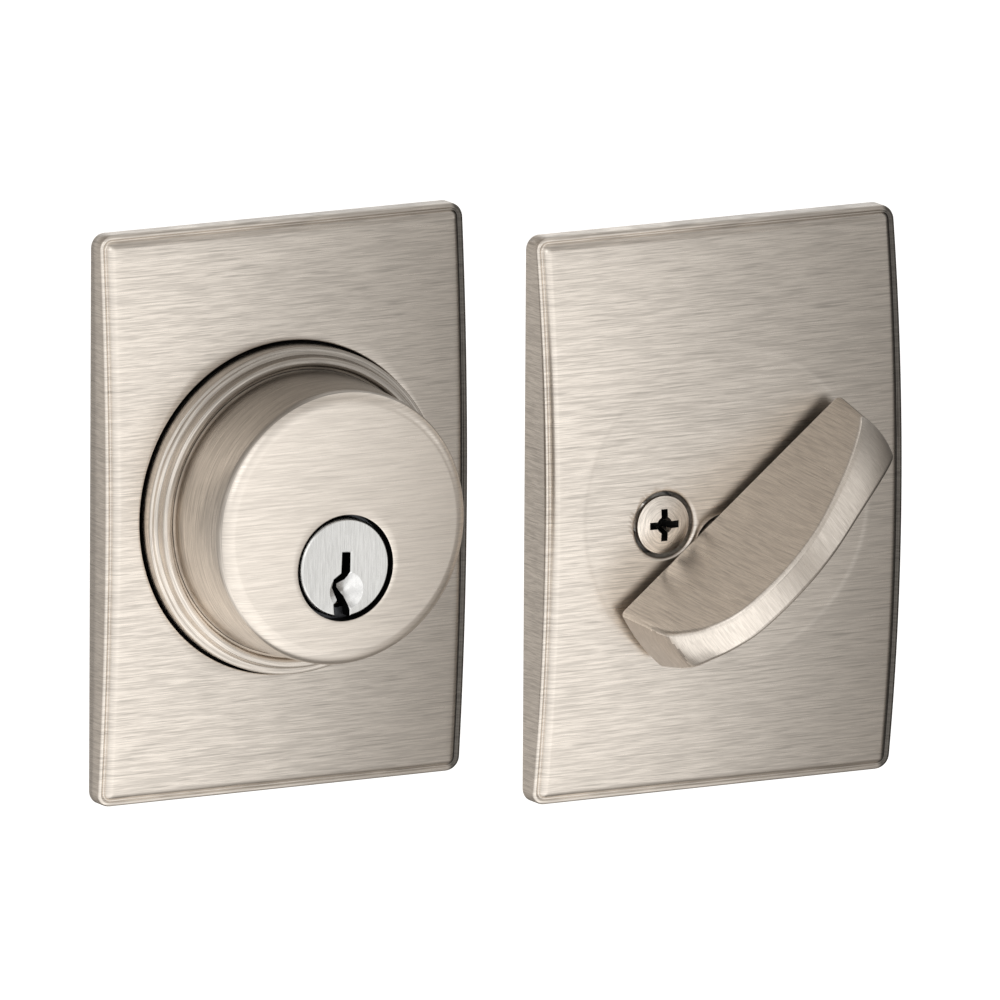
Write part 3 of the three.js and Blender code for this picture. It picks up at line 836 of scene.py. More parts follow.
@dataclass
class Rose:
    """A rectangular plate, hollow behind, whose front bulges in the middle of its height.

    Attributes:
        name: The piece's name.
        centre: The middle of its back in millimetres, as (x, z).
        edge: Depth of the edge at top and bottom.
        bulge: How much further the middle stands out.
        hole: Radius of the hole.
        hole_drop: How far the hole is below the middle.
        seat: Radius of the shallow round seat, or 0.
    """

    name: str
    centre: Point
    edge: float
    bulge: float
    hole: float
    hole_drop: float = 0.0
    seat: float = 0.0
    width: float = 65.2
    height: float = 92.0
    corner: float = 2.3
    wall: float = 1.7
    roof: float = 1.9
    panel_inset: float = 2.35
    panel_rise: float = 0.65
    seat_step: float = 0.03
    rim: tuple[Point, ...] = (
        (0.0, -0.62), (0.03, -0.38), (0.12, -0.17), (0.27, -0.04), (0.45, 0.0), (0.6, -0.03), (0.74, -0.13),
        (0.84, -0.24), (0.95, -0.3), (1.05, -0.27), (1.15, -0.14), (1.3, 0.1), (1.5, 0.32), (1.75, 0.5),
        (2.0, 0.6), (2.2, 0.64))
    lip: tuple[Point, ...] = ((0.2, 0.0), (0.1, -0.03), (0.03, -0.1), (0.0, -0.2))

    def depth_at(self, z: float) -> float:
        """Returns how far the edge stands out at a height from the middle."""
        half = self.height / 2
        radius = (half * half + self.bulge * self.bulge) / (2 * self.bulge)
        return self.edge + self.bulge - radius + math.sqrt(radius * radius - min(z * z, half * half))

    def stations(self, half: float, count: int) -> list[float]:
        """Returns places from -half to half, closer together near the ends."""
        near = (0, 0.25, 0.5, 0.8, 1.1, 1.4, 1.8, 2.2, 2.7)
        first = -half + near[-1]
        steps = [first + (2 * half - 2 * near[-1]) * i / count for i in range(count + 1)]
        return [-half + n for n in near[:-1]] + steps + [half - n for n in reversed(near[:-1])]

    def perimeter(self) -> list[Point]:
        """Returns the panel's outline, anticlockwise from its lower left corner."""
        xs = self.stations(self.width / 2 - self.panel_inset, 40)
        zs = self.stations(self.height / 2 - self.panel_inset, 64)
        low = [(x, zs[0]) for x in xs[:-1]] + [(xs[-1], z) for z in zs[:-1]]
        return low + [(-x, -z) for x, z in low]

    def plate_loop(self, inset: float) -> list[Point]:
        """Returns the outline at an inset from the edge, with rounded corners."""
        wide = self.width / 2 - inset
        tall = self.height / 2 - inset
        radius = max(self.corner - inset, 0.02)
        made = []
        for panel_x, panel_z in self.perimeter():
            x = panel_x * wide / (self.width / 2 - self.panel_inset)
            z = panel_z * tall / (self.height / 2 - self.panel_inset)
            inner = Vector((
                min(max(x, radius - wide), wide - radius), min(max(z, radius - tall), tall - radius)))
            out = Vector((x, z)) - inner
            cornered = abs(out.x) > AXIS_RADIUS and abs(out.y) > AXIS_RADIUS
            made.append(tuple(inner + out.normalized() * radius) if cornered else (x, z))
        return made

    def round_loop(self, radius: float, drop: float = 0.0) -> list[Point]:
        """Returns a circle whose points lie in the directions of the panel's outline."""
        made = []
        for x, z in self.perimeter():
            reach = math.hypot(x, z)
            made.append((x / reach * radius, z / reach * radius - drop))
        return made

    def lift(self, outline: Sequence[Point], rise: float) -> Loop:
        """Returns an outline on the bulge, at a height above the edge's depth."""
        return [(self.centre[0] + x, -self.depth_at(z) - rise, self.centre[1] + z) for x, z in outline]

    def flat(self, outline: Sequence[Point], depth: float) -> Loop:
        """Returns an outline at one depth."""
        return [(self.centre[0] + x, -depth, self.centre[1] + z) for x, z in outline]

    def across(self, first: Sequence[Point], second: Sequence[Point], steps: int, rise: float) -> list[Loop]:
        """Returns the loops between two outlines on the bulge, with the last and without the first."""
        made = []
        for step in range(1, steps + 1):
            t = step / steps
            mixed = [(a * (1 - t) + c * t, b * (1 - t) + d * t) for (a, b), (c, d) in zip(first, second)]
            made.append(self.lift(mixed, rise))
        return made

    def build(self) -> bpy.types.Object:
        """Builds and returns the plate."""
        loops = [
            self.flat(self.plate_loop(self.wall), 0.15), self.flat(self.plate_loop(self.wall - 0.15), 0.0),
            self.flat(self.plate_loop(0.15), 0.0), self.flat(self.plate_loop(0.0), 0.15)]
        loops += [self.lift(self.plate_loop(inset), rise) for inset, rise in self.rim]
        top = self.panel_rise
        start = self.plate_loop(self.panel_inset)
        loops.append(self.lift(start, top))
        if self.seat:
            outer = self.round_loop(self.seat + 0.6)
            loops += self.across(start, outer, 10, top)
            for out, share in ((0.3, 0.1), (0.0, 0.5), (-0.3, 0.9)):
                loops.append(self.lift(self.round_loop(self.seat + out), top - self.seat_step * share))
            start = self.round_loop(self.seat - 0.6)
            top -= self.seat_step
            loops.append(self.lift(start, top))
        brim = self.round_loop(self.hole + self.lip[0][0], self.hole_drop)
        loops += self.across(start, brim, 14, top)
        loops += [self.lift(self.round_loop(self.hole + out, self.hole_drop), top + down)
                  for out, down in self.lip[1:]]
        ceiling = self.panel_rise - self.roof
        rim = self.round_loop(self.hole, self.hole_drop)
        loops.append(self.lift(rim, ceiling))
        loops += self.across(rim, self.plate_loop(self.wall), 14, ceiling)
        return lofted(self.name, loops, closed=True)


# ---- Exterior unit ------------------------------------------------------------------------------


@dataclass
class ExteriorUnit(Unit):
    """The keyed side: rose, base ring, guard, cylinder and what the cylinder drives."""

    centre: Point = (0.0, 0.0)
    axis: Point = (0.0, -6.3)
    rose_hole: float = 26.85
    ring_inner: float = 23.02
    ring_outer: float = 26.4
    flange: float = 30.0
    guard_base: float = 22.95
    guard_front: float = 22.0
    guard_depth: float = 24.9
    guard_wall: float = 18.8
    guard_inside: float = 22.3
    plug_hole: float = 8.52
    plug_face: float = 24.7
    pin_depths: tuple[float, ...] = (16.6, 12.64, 8.68, 4.72, 0.76)
    keyway: tuple[Point, ...] = (
        (1.05, 2.4), (-0.4, 2.4), (-0.54, -0.9), (-1.92, -1.8), (-2.28, -3.05), (-1.32, -5.1), (-1.92, -5.8),
        (-1.67, -8.4), (0.92, -8.4), (0.92, -6.8), (0.07, -4.6), (-1.3, -3.05), (-1.4, -2.45), (0.07, -1.95),
        (1.02, -0.7))
    dimple: Point = (0.25, -3.7)
    dimple_radius: float = 3.0
    dimple_depth: float = 1.0

    def rose(self) -> None:
        """Builds the rose."""
        plate = Rose("exterior_rose_plate", self.centre, 3.1, 2.35, self.rose_hole).build()
        # Painted shadow: the hole's inner wall takes the near-black recess material. Painted shade: the front
        # of the right-hand rim takes the rim's darker metal.
        for polygon in plate.data.polygons:
            reach = math.hypot(polygon.center.x, polygon.center.z) / MM
            if reach < self.rose_hole + 0.01 and abs(polygon.normal.y) < STEEP:
                polygon.material_index = 2
            elif polygon.center.x / MM > RIM_START and polygon.normal.y < FACES_FRONT:
                polygon.material_index = 1
        # Painted shade: the colour darkens from left to right.
        look = {"fade": ROSE_PAINTED_SHADE, "painted_shade_factor": 0.7, "crown": 0.1}
        material = self.metal("exterior_rose", Grain.LEVEL, **look)
        rim = self.metal("exterior_rim_painted_shade", Grain.LEVEL, rim=0.2, **look)
        self.nickel(plate, "exterior_rose", material, rim)

    def ring(self) -> None:
        """Builds the stepped ring round the guard's base."""
        corners = (
            (self.ring_inner, -4.0), (self.ring_outer, -4.0), (self.ring_outer, 0.1), (self.flange, 0.1),
            (self.flange, 2.6), (self.ring_outer, 2.6), (self.ring_outer, 8.6), (25.15, 8.5), (24.95, 10.72),
            (23.7, 10.72), (23.4, 9.9), (self.ring_inner, 9.8))
        radii = {0: 0.2, 1: 0.2, 3: 0.3, 4: 0.3, 6: 0.45, 7: 0.6, 8: 0.62, 9: 0.6, 10: 0.15}
        ring = turned("guard_base_ring_turned", fillet(corners, radii), self.centre, 256)
        soften(ring, angle=50)
        # Painted shadow: the side wall inside the rose's hole takes the near-black recess material.
        for polygon in ring.data.polygons:
            middle = polygon.center / MM
            reach = math.hypot(middle.x - self.centre[0], middle.z - self.centre[1])
            in_painted_shadow = reach > self.ring_outer - 0.1 and 0.2 < -middle.y < 5.3
            polygon.material_index = 1 if in_painted_shadow else 0
        # Painted shade: the colour darkens towards the upper right.
        look = {"roughness": 0.24, "fade": (-29.7, 33.8), "painted_shade_factor": 0.5, "painted_shade_way": UP_RIGHT}
        self.nickel(ring, "guard_base_ring", self.metal("ring", Grain.ROUND, **look))

    def guard(self) -> None:
        """Builds the tapered guard with the plug's hole in its face."""
        corners = (
            (self.guard_wall, -4.0), (self.guard_base, -4.0), (self.guard_base, 9.9),
            (self.guard_front, self.guard_depth), (self.guard_front - 5, self.guard_depth))
        profile = fillet(corners, {0: 0.2, 1: 0.2, 3: 2.4}, 14)
        count = 256
        loops = [circle(radius, depth, self.centre, count) for radius, depth in profile]
        rim = circle(self.plug_hole + 0.2, self.guard_depth, self.axis, count)
        outer = loops[-1]
        for step in range(1, 11):
            loops.append([tuple(Vector(a).lerp(Vector(b), step / 10)) for a, b in zip(outer, rim)])
        for out, depth in ((0.08, self.guard_depth - 0.03), (0.02, self.guard_depth - 0.1),
                           (0.0, self.guard_depth - 0.25), (0.0, self.guard_inside)):
            loops.append(circle(self.plug_hole + out, depth, self.axis, count))
        loops.append(circle(self.guard_wall, self.guard_inside, self.centre, count))
        guard = lofted("cylinder_guard_turned", loops, closed=True)
        soften(guard, angle=50)
        face = self.metal("guard_face", Grain.LEVEL, streak=0.14, crown=0.14)
        # Painted shade: the wall's colour darkens towards the upper right.
        wall = self.metal("guard_wall", Grain.ROUND, fade=(-24.2, 27.5), painted_shade_factor=0.5, painted_shade_way=UP_RIGHT)
        hole = Vector(self.axis)
        # Painted shadow: the wall of the plug's hole takes the near-black recess material.
        for polygon in guard.data.polygons:
            middle = Vector((polygon.center.x, polygon.center.z)) / MM
            sunk = (middle - hole).length < self.plug_hole + 0.01 and abs(polygon.normal.y) < STEEP
            polygon.material_index = 2 if sunk else int(polygon.normal.y < GUARD_FRONT)
        self.nickel(guard, "cylinder_guard", wall, face)

    def plug(self) -> None:
        """Builds the plug with its keyway, its dimple and its pin chambers."""
        face = self.plug_face
        corners = (
            (0.0, -6.6), (4.6, -6.6), (4.6, -4.4), (6.35, -4.4), (6.35, 22.3), (8.0, 22.3),
            (8.0, face - 0.4), (7.62, face), (0.0, face))
        profile = fillet(corners, {1: 0.3, 3: 0.2, 6: 0.25, 7: 0.15}, 5)
        plug = turned("plug_with_keyway", profile, self.axis, 192)
        sections = ((0.0, -0.5), (0.0, face - 0.2), (0.2, face), (0.2, face + 1))
        slot = prism("slot", self.keyway, 0.1, sections, self.axis)
        place = (self.axis[0] + self.dimple[0], self.axis[1] + self.dimple[1])
        cone = turned("cone", (
            (0.0, face - self.dimple_depth), (0.4, face - self.dimple_depth * 0.95),
            (self.dimple_radius, face), (self.dimple_radius, face + 1), (0.0, face + 1)), place, 96)
        chambers = []
        for depth in self.pin_depths:
            chamber = turned("chamber", ((0.0, 0.0), (1.65, 0.0), (1.65, 12.0), (0.0, 12.0)), (0.0, 0.0), 32)
            chamber.data.transform(Matrix.Rotation(math.radians(-90), 4, "X"))
            chamber.data.transform(Matrix.Translation(Vector((0, -depth, self.axis[1] - 1.6)) * MM))
            chambers.append(chamber)
        carve(plug, cone, slot, *chambers)
        soften(plug, angle=20)
        # Painted shadow: the keyway's steep walls below the face and every face deeper than 2 mm take the
        # near-black recess material.
        for polygon in plug.data.polygons:
            middle = Vector((polygon.center.x / MM - place[0], polygon.center.z / MM - place[1]))
            sunk = face + polygon.center.y / MM
            steep = abs(polygon.normal.y) < STEEP
            if steep and sunk > PLUG_SHADE_FROM or sunk > 2:
                polygon.material_index = 2
            elif middle.length < self.dimple_radius and sunk > 0.01 and not steep:
                polygon.material_index = 1
            else:
                polygon.material_index = 0
        nickel = BrushedMetal("plug_nickel", Grain.UPRIGHT, (0.84, 0.84, 0.83), 0.24, 0.14, 0.004, 6.0, 0.22)
        bright = PlainMetal("polished_lead_in", (0.82, 0.82, 0.82), (0.62, 0.62, 0.62), 0.22, 2.2, 0.004)
        origin = Vector((self.axis[0], 0, self.axis[1])) * MM
        shaded = self.finishes.shaded.material()
        fit_piece(plug, "plug", "plug_nickel", ["plug"], nickel.material(origin), bright.material(), shaded)

    def inner_works(self) -> None:
        """Dresses the shell, the pins and the springs, which stay as they are."""
        brass = self.finishes.brass.material()
        steel = self.finishes.steel.material()
        spring = self.finishes.spring.material()
        dress(self.finishes.hard.material(), "hardened_insert")
        dress(brass, "cylinder_shell", "pin_chamber_cap")
        for number in range(1, len(self.pin_depths) + 1):
            dress(brass, f"key_pin_{number}")
            dress(steel, f"driver_pin_{number}")
            dress(spring, f"pin_spring_{number}")
        zinc = self.finishes.zinc.material()
        self.stock("plug_retainer", "cast", 0.3, "plug", "zinc_casting", zinc)
        self.stock("tailpiece", "stamped", 0.25, "tailpiece", "steel", steel)
        self.stock("cylinder_support_plate", "stamped", 0.3, "mounted_trims", "steel", steel)
        for side in ("left", "right"):
            self.stock(f"mounting_post_{side}", "turned", 0.3, "mounted_trims", "steel", steel)

    def build(self) -> None:
        """Builds every piece of the unit."""
        self.rose()
        self.ring()
        self.guard()
        self.plug()
        self.inner_works()


# ---- Interior unit ------------------------------------------------------------------------------


# How far a face looks sideways, or back along the bow, to take the side's metal or the end's darker metal
# with painted shade.
SIDE_FACE = 0.7
END_FACE = -0.93


@dataclass
class Thumbturn:
    """The bow, its boss and its stem.

    Attributes:
        axis: The turning axis in millimetres, as (x, z).
        angle: How far the long arm points above level, in degrees.
    """

    axis: Point
    angle: float = 39.0
    back: float = 9.2
    edge: float = 0.7
    crown: float = 0.03
    middle: Point = (3.0, 9.0)
    widths: tuple[Point, ...] = ((0.0, 6.2), (8.0, 4.85), (16.0, 3.3), (24.0, 2.45))
    corners: tuple[Point, ...] = (
        (-21.0, 0.0), (29.8, 0.0), (28.7, 6.8), (27.6, 9.4), (22.7, 13.1), (15.9, 17.0), (7.0, 21.2),
        (-1.7, 23.0), (-10.5, 22.4), (-15.6, 19.3), (-18.6, 15.4), (-20.2, 12.2), (-20.75, 8.0))
    cap_scales: tuple[float, ...] = (0.02, 0.15, 0.3, 0.45, 0.6, 0.74, 0.86, 0.95)
    band_places: tuple[float, ...] = (-0.75, -0.5, -0.25, 0.0, 0.25, 0.5, 0.75)
    back_steps: int = 12
    curve_steps: int = 8
    edge_steps: int = 6
    stem: tuple[Point, ...] = (
        (0.0, -9.0), (4.0, -9.0), (4.0, -1.9), (3.3, -1.9), (3.3, -0.4), (4.0, -0.4), (4.0, 3.9),
        (5.4, 3.9), (5.4, 10.2), (0.0, 10.2))

    def outline(self) -> list[Point]:
        """Returns the bow's side outline as (along, forward), anticlockwise."""
        start, end = self.corners[0][0], self.corners[1][0]
        back = [(start + (end - start) * step / self.back_steps, 0.0) for step in range(self.back_steps)]
        rest = self.corners[1:]
        made = [rest[0]]
        for i in range(1, len(rest) - 1):
            near = (rest[i - 1], rest[i], rest[i + 1], rest[min(i + 2, len(rest) - 1)])
            made += [spline_point(*near, step / self.curve_steps) for step in range(self.curve_steps)]
        made.append(rest[-1])
        return fillet(back + made, {0: 0.8, self.back_steps: 0.8, self.back_steps + 1: 1.2}, 6)

    def section(self, outline: Sequence[Point], side: float, narrow: float = 0.0, scale: float = 1.0) -> Loop:
        """Returns one lengthwise loop of the bow.

        Args:
            outline: The loop as (along, forward).
            side: From -1, the lower side, to 1, the upper one.
            narrow: How far the loop stays inside the side face.
            scale: The loop's scale about the middle of the side.

        Returns:
            The points in the row frame.
        """
        turn = math.radians(self.angle)
        made = []
        for u, w in outline:
            along = self.middle[0] + (u - self.middle[0]) * scale
            forward = self.middle[1] + (w - self.middle[1]) * scale
            half = curve_through(self.widths, forward)
            out = side * (half - narrow)
            along *= 1 + self.crown * (1 - (out / half) ** 2)
            made.append((
                self.axis[0] + along * math.cos(turn) - out * math.sin(turn), -(self.back + forward),
                self.axis[1] + along * math.sin(turn) + out * math.cos(turn)))
        return made

    def build(self) -> bpy.types.Object:
        """Builds and returns the thumbturn as one casting."""
        outline = self.outline()
        inner = offset(outline, -self.edge)
        rings = [(inner, 0.0, scale) for scale in self.cap_scales]
        for step in range(self.edge_steps + 1):
            turn = math.radians(90 * step / self.edge_steps)
            ring = offset(outline, -self.edge * (1 - math.sin(turn)))
            rings.append((ring, self.edge * (1 - math.cos(turn)), 1.0))
        loops = [self.section(ring, -1.0, narrow, scale) for ring, narrow, scale in rings]
        loops += [self.section(outline, share) for share in self.band_places]
        loops += [self.section(ring, 1.0, narrow, scale) for ring, narrow, scale in reversed(rings)]
        bow = lofted("thumbturn_casting", loops)
        stem = turned("stem", fillet(self.stem, {1: 0.4, 7: 0.2}), self.axis, 96)
        carve(bow, stem, operation="UNION")
        soften(bow, angle=40)
        turn = math.radians(self.angle)
        run = Vector((math.cos(turn), 0, math.sin(turn)))
        lateral = Vector((-run.z, 0, run.x))
        for polygon in bow.data.polygons:
            if abs(polygon.normal.dot(lateral)) > SIDE_FACE:
                polygon.material_index = 0
            else:
                polygon.material_index = 2 if polygon.normal.dot(run) < END_FACE else 1
        return bow


@dataclass
class MountingScrew:
    """An oval-head screw with a cross recess and a rolled thread.

    Attributes:
        centre: The axis in millimetres, as (x, z).
        top: Depth of the head's rim.
    """

    centre: Point
    top: float = 7.35
    shank: float = 2.4
    root: float = 1.95
    head: float = 4.74
    end: float = -30.0
    thread_start: float = -4.0
    pitch: float = 1.06
    crown: float = 0.55
    arm: float = 2.6
    arm_half: float = 0.58

    def shaft(self) -> list[Loop]:
        """Returns the loops of the threaded shaft, from its point to the head's underside."""
        count = 40
        steps = int((self.thread_start - self.end) / self.pitch * 8)
        made = [circle(self.root * 0.7, self.end, self.centre, count)]
        for step in range(1, steps + 1):
            depth = self.end + (self.thread_start - self.end) * step / steps
            fade = min(1.0, (depth - self.end) / 1.5, (self.thread_start - depth) / 1.0 + 0.05)
            loop = []
            for i in range(count):
                share = (depth / self.pitch - i / count) % 1.0
                ridge = max(0.0, 1 - abs(share - 0.5) * 2.6) * fade
                radius = self.root + (self.shank - self.root) * ridge
                angle = 2 * math.pi * i / count
                loop.append((self.centre[0] + radius * math.cos(angle), -depth,
                             self.centre[1] + radius * math.sin(angle)))
            made.append(loop)
        return made

    def build(self, name: str) -> bpy.types.Object:
        """Builds and returns the screw."""
        loops = self.shaft()
        count = len(loops[0])
        shape = [(self.shank - 0.3, self.thread_start + 0.4), (self.shank - 0.3, self.top - 3.6),
                 (self.head - 0.1, self.top - 0.75), (self.head, self.top - 0.6), (self.head, self.top - 0.3)]
        sphere = (self.head ** 2 + self.crown ** 2) / (2 * self.crown)
        for share in (0.985, 0.95, 0.9, 0.8, 0.7, 0.6, 0.5, 0.4, 0.3, 0.2, 0.1, 0.01):
            radius = self.head * share
            shape.append((radius, self.top + self.crown - sphere + math.sqrt(sphere ** 2 - radius ** 2)))
        loops += [circle(radius, depth, self.centre, count) for radius, depth in shape]
        screw = lofted(name, loops)
        core = ((0.0, -2.2), (0.5, -2.2), (1.3, 0.2), (1.7, 1.5), (0.0, 1.5))
        tools = [turned("core", [(radius, self.top + up) for radius, up in core], self.centre, 24)]
        for wide, tall in ((self.arm, self.arm_half), (self.arm_half, self.arm)):
            deep = (min(wide, 1.3), min(tall, 1.3))
            shapes = [(deep[0] * 0.6, deep[1] * 0.9, self.top - 2.0), (wide, tall, self.top + 0.35),
                      (wide * 1.02, tall * 1.1, self.top + 1.5)]
            loops = [[(self.centre[0] + sx * x, -depth, self.centre[1] + sz * z)
                      for sx, sz in ((-1, -1), (1, -1), (1, 1), (-1, 1))] for x, z, depth in shapes]
            tools.append(lofted("recess", loops))
        carve(screw, *tools)
        soften(screw, angle=28)
        # Painted shadow: the deep faces of the cross recess take the near-black recess material.
        for polygon in screw.data.polygons:
            middle = Vector((polygon.center.x, polygon.center.z)) / MM - Vector(self.centre)
            below = self.top + polygon.center.y / MM
            polygon.material_index = int(middle.length < self.arm and 0.8 < below < 3)
        return screw


@dataclass
class InteriorUnit(Unit):
    """The thumbturn side: rose, thumbturn, hub, plate and mounting screws."""

    centre: Point = (78.3, -7.1)
    axis_drop: float = 6.3
    screw: Point = (11.3, -1.5)
    seat: float = 25.8
    sleeve: tuple[Point, ...] = ((5.2, 3.0), (6.4, 3.0), (6.4, 7.0), (5.2, 7.0))
    recess: tuple[Point, ...] = (
        (0.0, 2.0), (5.3, 2.0), (5.3, 6.9), (5.36, 7.2), (5.46, 7.44), (5.6, 7.62), (5.76, 7.72),
        (5.98, 7.8), (6.4, 7.86), (0.0, 7.9))

    def screw_place(self, side: int) -> Point:
        """Returns the axis of the screw on a side, -1 being the left."""
        return (self.centre[0] + side * self.screw[0], self.centre[1] + self.screw[1])

    def rose(self) -> None:
        """Builds the rose with its boss hole and its two screw recesses."""
        plate = Rose("interior_rose_plate", self.centre, 3.4, 3.75, 5.7, self.axis_drop, self.seat).build()
        for side in (-1, 1):
            place = self.screw_place(side)
            carve(plate, turned("sleeve", self.sleeve, place, 96), operation="UNION")
            carve(plate, turned("recess", self.recess, place, 128))
        soften(plate, angle=50)
        # Painted shade: the front of the right-hand rim takes the rim's darker metal.
        for polygon in plate.data.polygons:
            across = polygon.center.x / MM - self.centre[0]
            polygon.material_index = int(across > RIM_START and polygon.normal.y < FACES_FRONT)
        # Painted shade darkens the colour from left to right; the round seat gets painted shade on its left
        # and painted light on its right.
        look = {"fade": ROSE_PAINTED_SHADE, "painted_shade_factor": 0.63, "crown": 0.1}
        material = self.metal("interior_rose", Grain.LEVEL, painted_seat=self.seat, **look)
        rim = self.metal("interior_rim_painted_shade", Grain.LEVEL, rim=0.2, **look)
        fit_piece(plate, "mounted_trims", "satin_nickel", ["interior_rose"], material, rim)

    def turn(self) -> None:
        """Builds the thumbturn."""
        part = Thumbturn((self.centre[0], self.centre[1] - self.axis_drop))
        angle = math.radians(part.angle)
        side = self.metal("turn_side", Grain.DEPTH, angle, streak=0.2, length=9.0)
        look = {"streak": 0.14, "length": 6.0}
        run = (math.cos(angle), 0.0, math.sin(angle))
        # Painted shade: the band's colour darkens towards the long arm's end.
        band = self.metal(
            "turn_band", Grain.ACROSS_TURN, angle, fade=(12.5, 25.0), painted_shade_factor=0.45, painted_shade_way=run, **look)
        # Painted shade: the end faces take a darker copy of the satin nickel.
        end = self.metal("turn_end_painted_shade", Grain.ACROSS_TURN, angle, colour=SATIN_PAINTED_SHADE, **look)
        fit_piece(part.build(), "thumbturn", "satin_nickel", ["thumbturn"], side, band, end)

    def screws(self) -> None:
        """Builds both mounting screws."""
        for name, side in (("left", -1), ("right", 1)):
            place = self.screw_place(side)
            piece = MountingScrew(place).build(f"mounting_screw_{name}_oval_head")
            finish = BrushedMetal(
                f"satin_nickel_screw_{name}", Grain.ROUND, SATIN, 0.28, 0.24, 0.01, 4.0, 0.42)
            material = finish.material(Vector((place[0], 0, place[1])) * MM)
            self.nickel(piece, f"mounting_screw_{name}", material)

    def inner_works(self) -> None:
        """Builds the hub, the washer, the clip and the plate behind the rose."""
        zinc = self.finishes.zinc.material()
        self.stock("thumbturn_hub", "cast", 0.3, "thumbturn", "zinc_casting", zinc)
        spring = self.finishes.spring.material()
        for node in ("spring_washer", "retaining_clip"):
            self.stock(node, "formed", 0.08, "thumbturn", "spring_steel", spring)
        steel = self.finishes.steel.material()
        self.stock("interior_support_plate", "stamped", 0.25, "mounted_trims", "steel", steel)

    def build(self) -> None:
        """Builds every piece of the unit."""
        self.rose()
        self.turn()
        self.screws()
        self.inner_works()


# ---- Studio -------------------------------------------------------------------------------------


@dataclass(frozen=True)
class SoftLight:
    """A rectangular soft light aimed at the middle of the trims.

    Attributes:
        azimuth: Degrees from straight in front, positive to the right.
        elevation: Degrees above level.
        distance: Metres from the aim.
        size: Width and height in metres.
        power: Watts.
        colour: The light's colour.
    """

    azimuth: float
    elevation: float
    distance: float
    size: Point
    power: float
    colour: Colour = (1.0, 1.0, 1.0)


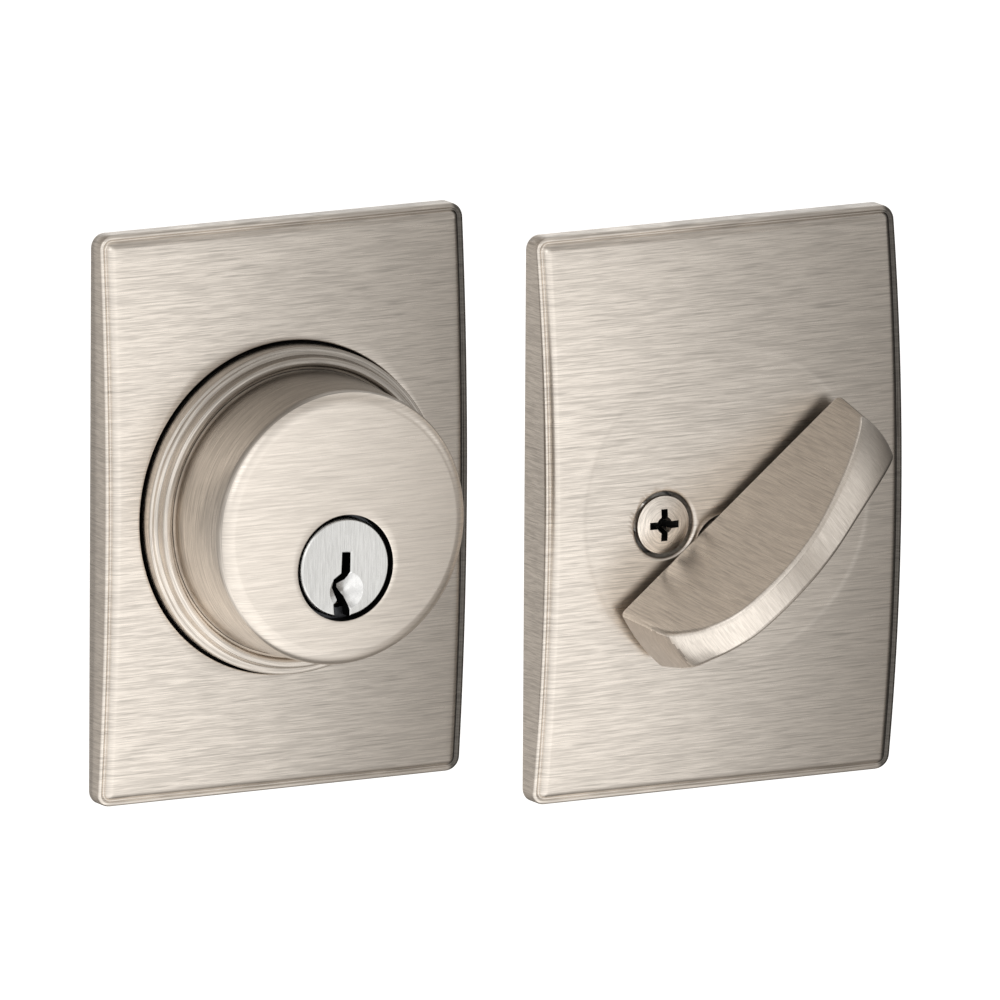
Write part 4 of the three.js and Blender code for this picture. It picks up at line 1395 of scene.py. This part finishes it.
@dataclass
class Studio:
    """The floor, the surround, the lights and the camera."""

    aim: tuple[float, float, float] = (0.04136, 0.0, -0.00356)
    azimuth: float = -28.8
    elevation: float = 11.35
    roll: float = 0.352
    distance: float = 5.2
    scale: float = 6.288
    floor_level: float = -0.3
    dim_tint: Colour = (1.0, 0.93, 0.85)
    bright_tint: Colour = (1.0, 0.99, 0.97)
    room: tuple[tuple[float, tuple[Point, ...]], ...] = (
        (-0.75, (
            (-180, 0.24), (-158, 0.22), (-135, 0.6), (-115, 1.2), (-75, 1.3), (-40, 1.35), (-10, 1.4),
            (12, 1.2), (30, 0.95), (60, 0.6), (112, 0.25), (150, 0.25), (180, 0.24))),
        (-0.2, (
            (-180, 0.5), (-150, 0.55), (-110, 0.5), (-75, 1.05), (-46, 1.15), (-20, 1.25), (8, 1.35),
            (20, 1.35), (30, 0.88), (46, 0.28), (66, 0.26), (90, 0.08), (130, 0.06), (155, 0.1),
            (180, 0.5))),
        (0.12, (
            (-180, 0.65), (-150, 0.5), (-110, 0.5), (-75, 1.05), (-46, 1.1), (-20, 1.25), (8, 1.2),
            (20, 1.0), (30, 0.7), (46, 0.65), (58, 1.05), (72, 0.95), (88, 0.45), (112, 0.2),
            (130, 0.4), (151, 1.1), (180, 0.65))),
        (0.45, (
            (-180, 0.4), (-150, 0.33), (-110, 0.45), (-75, 1.0), (-46, 1.0), (-20, 1.0), (8, 0.9),
            (20, 0.7), (30, 0.6), (60, 0.6), (100, 0.7), (132, 0.85), (151, 1.0), (170, 0.5),
            (180, 0.4))),
        (0.8, (
            (-180, 0.33), (-150, 0.3), (-110, 0.35), (-75, 0.7), (-46, 0.7), (-20, 0.7), (8, 0.6),
            (30, 0.55), (60, 0.6), (100, 0.75), (132, 0.8), (151, 0.6), (180, 0.33))))
    lights: tuple[SoftLight, ...] = (
        SoftLight(-60, 30, 1.6, (0.8, 1.0), 1.5),
    )

    def towards(self, azimuth: float, elevation: float) -> Vector:
        """Returns the direction from the aim to an azimuth and elevation."""
        turn = math.radians(azimuth)
        lift = math.radians(elevation)
        return Vector((math.sin(turn) * math.cos(lift), -math.cos(turn) * math.cos(lift), math.sin(lift)))

    def camera(self) -> None:
        """Places the camera."""
        lens = self.scale * self.distance * 1000 * 36 / 1000
        data = bpy.data.cameras.new("camera")
        data.lens = lens
        data.sensor_width = 36
        data.clip_end = 200
        camera = bpy.data.objects.new("camera", data)
        bpy.context.scene.collection.objects.link(camera)
        back = self.towards(self.azimuth, self.elevation)
        turn = math.radians(self.azimuth)
        level = Vector((math.cos(turn), math.sin(turn), 0))
        upright = back.cross(level)
        tilt = math.radians(self.roll)
        right = level * math.cos(tilt) + upright * math.sin(tilt)
        up = back.cross(right)
        place = Matrix((right, up, back)).transposed().to_4x4()
        place.translation = Vector(self.aim) + back * self.distance
        camera.matrix_world = place
        bpy.context.scene.camera = camera

    def surround(self) -> None:
        """Makes the pale floor and the pale light of the room."""
        corners = ((-1, -1), (1, -1), (1, 1), (-1, 1))
        levels = (self.floor_level / MM, self.floor_level / MM - FLOOR_DEPTH)
        floor = lofted("floor", [[(x * FLOOR_HALF, y * FLOOR_HALF, level) for x, y in corners]
                                 for level in levels])
        floor.data.shade_flat()
        material, graph = new_material("floor_paper")
        graph.surface("ShaderNodeBsdfPrincipled", {
            "Base Color": (0.9, 0.9, 0.9, 1.0), "Roughness": 0.9, "Emission Color": (1.0, 1.0, 1.0, 1.0),
            "Emission Strength": 0.6})
        floor.data.materials.append(material)
        floor.visible_glossy = False
        world = bpy.data.worlds.new("room")
        bpy.context.scene.world = world
        world.use_nodes = True
        graph = Graph(world.node_tree)
        way = graph.node("ShaderNodeTexCoord").outputs["Generated"]
        east = graph.along(way, (1, 0, 0))
        front = graph.along(way, (0, -1, 0))
        height = graph.along(way, (0, 0, 1))
        round_room = east.math("ARCTAN2", front) * (180 / math.pi)
        low, curve = self.room[0]
        glow = self.levels(graph, round_room, curve)
        for level, curve in self.room[1:]:
            share = height.ramp(low, level)
            glow = glow + share * (self.levels(graph, round_room, curve) - glow)
            low = level
        warmth = graph.mix(glow.ramp(0.25, 0.9), solid_colour(self.dim_tint), solid_colour(self.bright_tint))
        graph.surface("ShaderNodeBackground", {"Color": warmth, "Strength": glow}, "ShaderNodeOutputWorld")

    def levels(self, graph: Graph, value: Wire, stops: Sequence[Point]) -> Wire:
        """Returns the light level at a value, read off a smooth curve.

        Args:
            graph: The world's graph.
            value: Where the curve is read.
            stops: The curve's points as (value, level).

        Returns:
            The level.
        """
        low, high = stops[0][0], stops[-1][0]
        top = max(level for _, level in stops)
        shares = [((place - low) / (high - low), level / top) for place, level in stops]
        share = (value - low) * (1 / (high - low))
        ramp = graph.node("ShaderNodeValToRGB", {"stops": shares}, {"Fac": share})
        return Wire(graph, ramp.outputs["Color"]) * top

    def build(self) -> None:
        """Sets the whole studio up."""
        self.camera()
        self.surround()
        for number, light in enumerate(self.lights):
            data = bpy.data.lights.new(f"soft_light_{number}", "AREA")
            data.shape = "RECTANGLE"
            data.size, data.size_y = light.size
            data.energy = light.power
            data.color = light.colour
            lamp = bpy.data.objects.new(f"soft_light_{number}", data)
            bpy.context.scene.collection.objects.link(lamp)
            out = self.towards(light.azimuth, light.elevation)
            lamp.rotation_mode = "QUATERNION"
            lamp.rotation_quaternion = out.to_track_quat("Z", "Y")
            lamp.location = Vector(self.aim) + out * light.distance
        bpy.context.scene.view_settings.view_transform = "Standard"


def main() -> None:
    """Builds the studio and both units."""
    logging.basicConfig(level=logging.INFO, format="%(name)s: %(message)s")
    Studio().build()
    ExteriorUnit().build()
    InteriorUnit().build()
    bpy.context.view_layer.update()


if __name__ == "__main__":
    main()
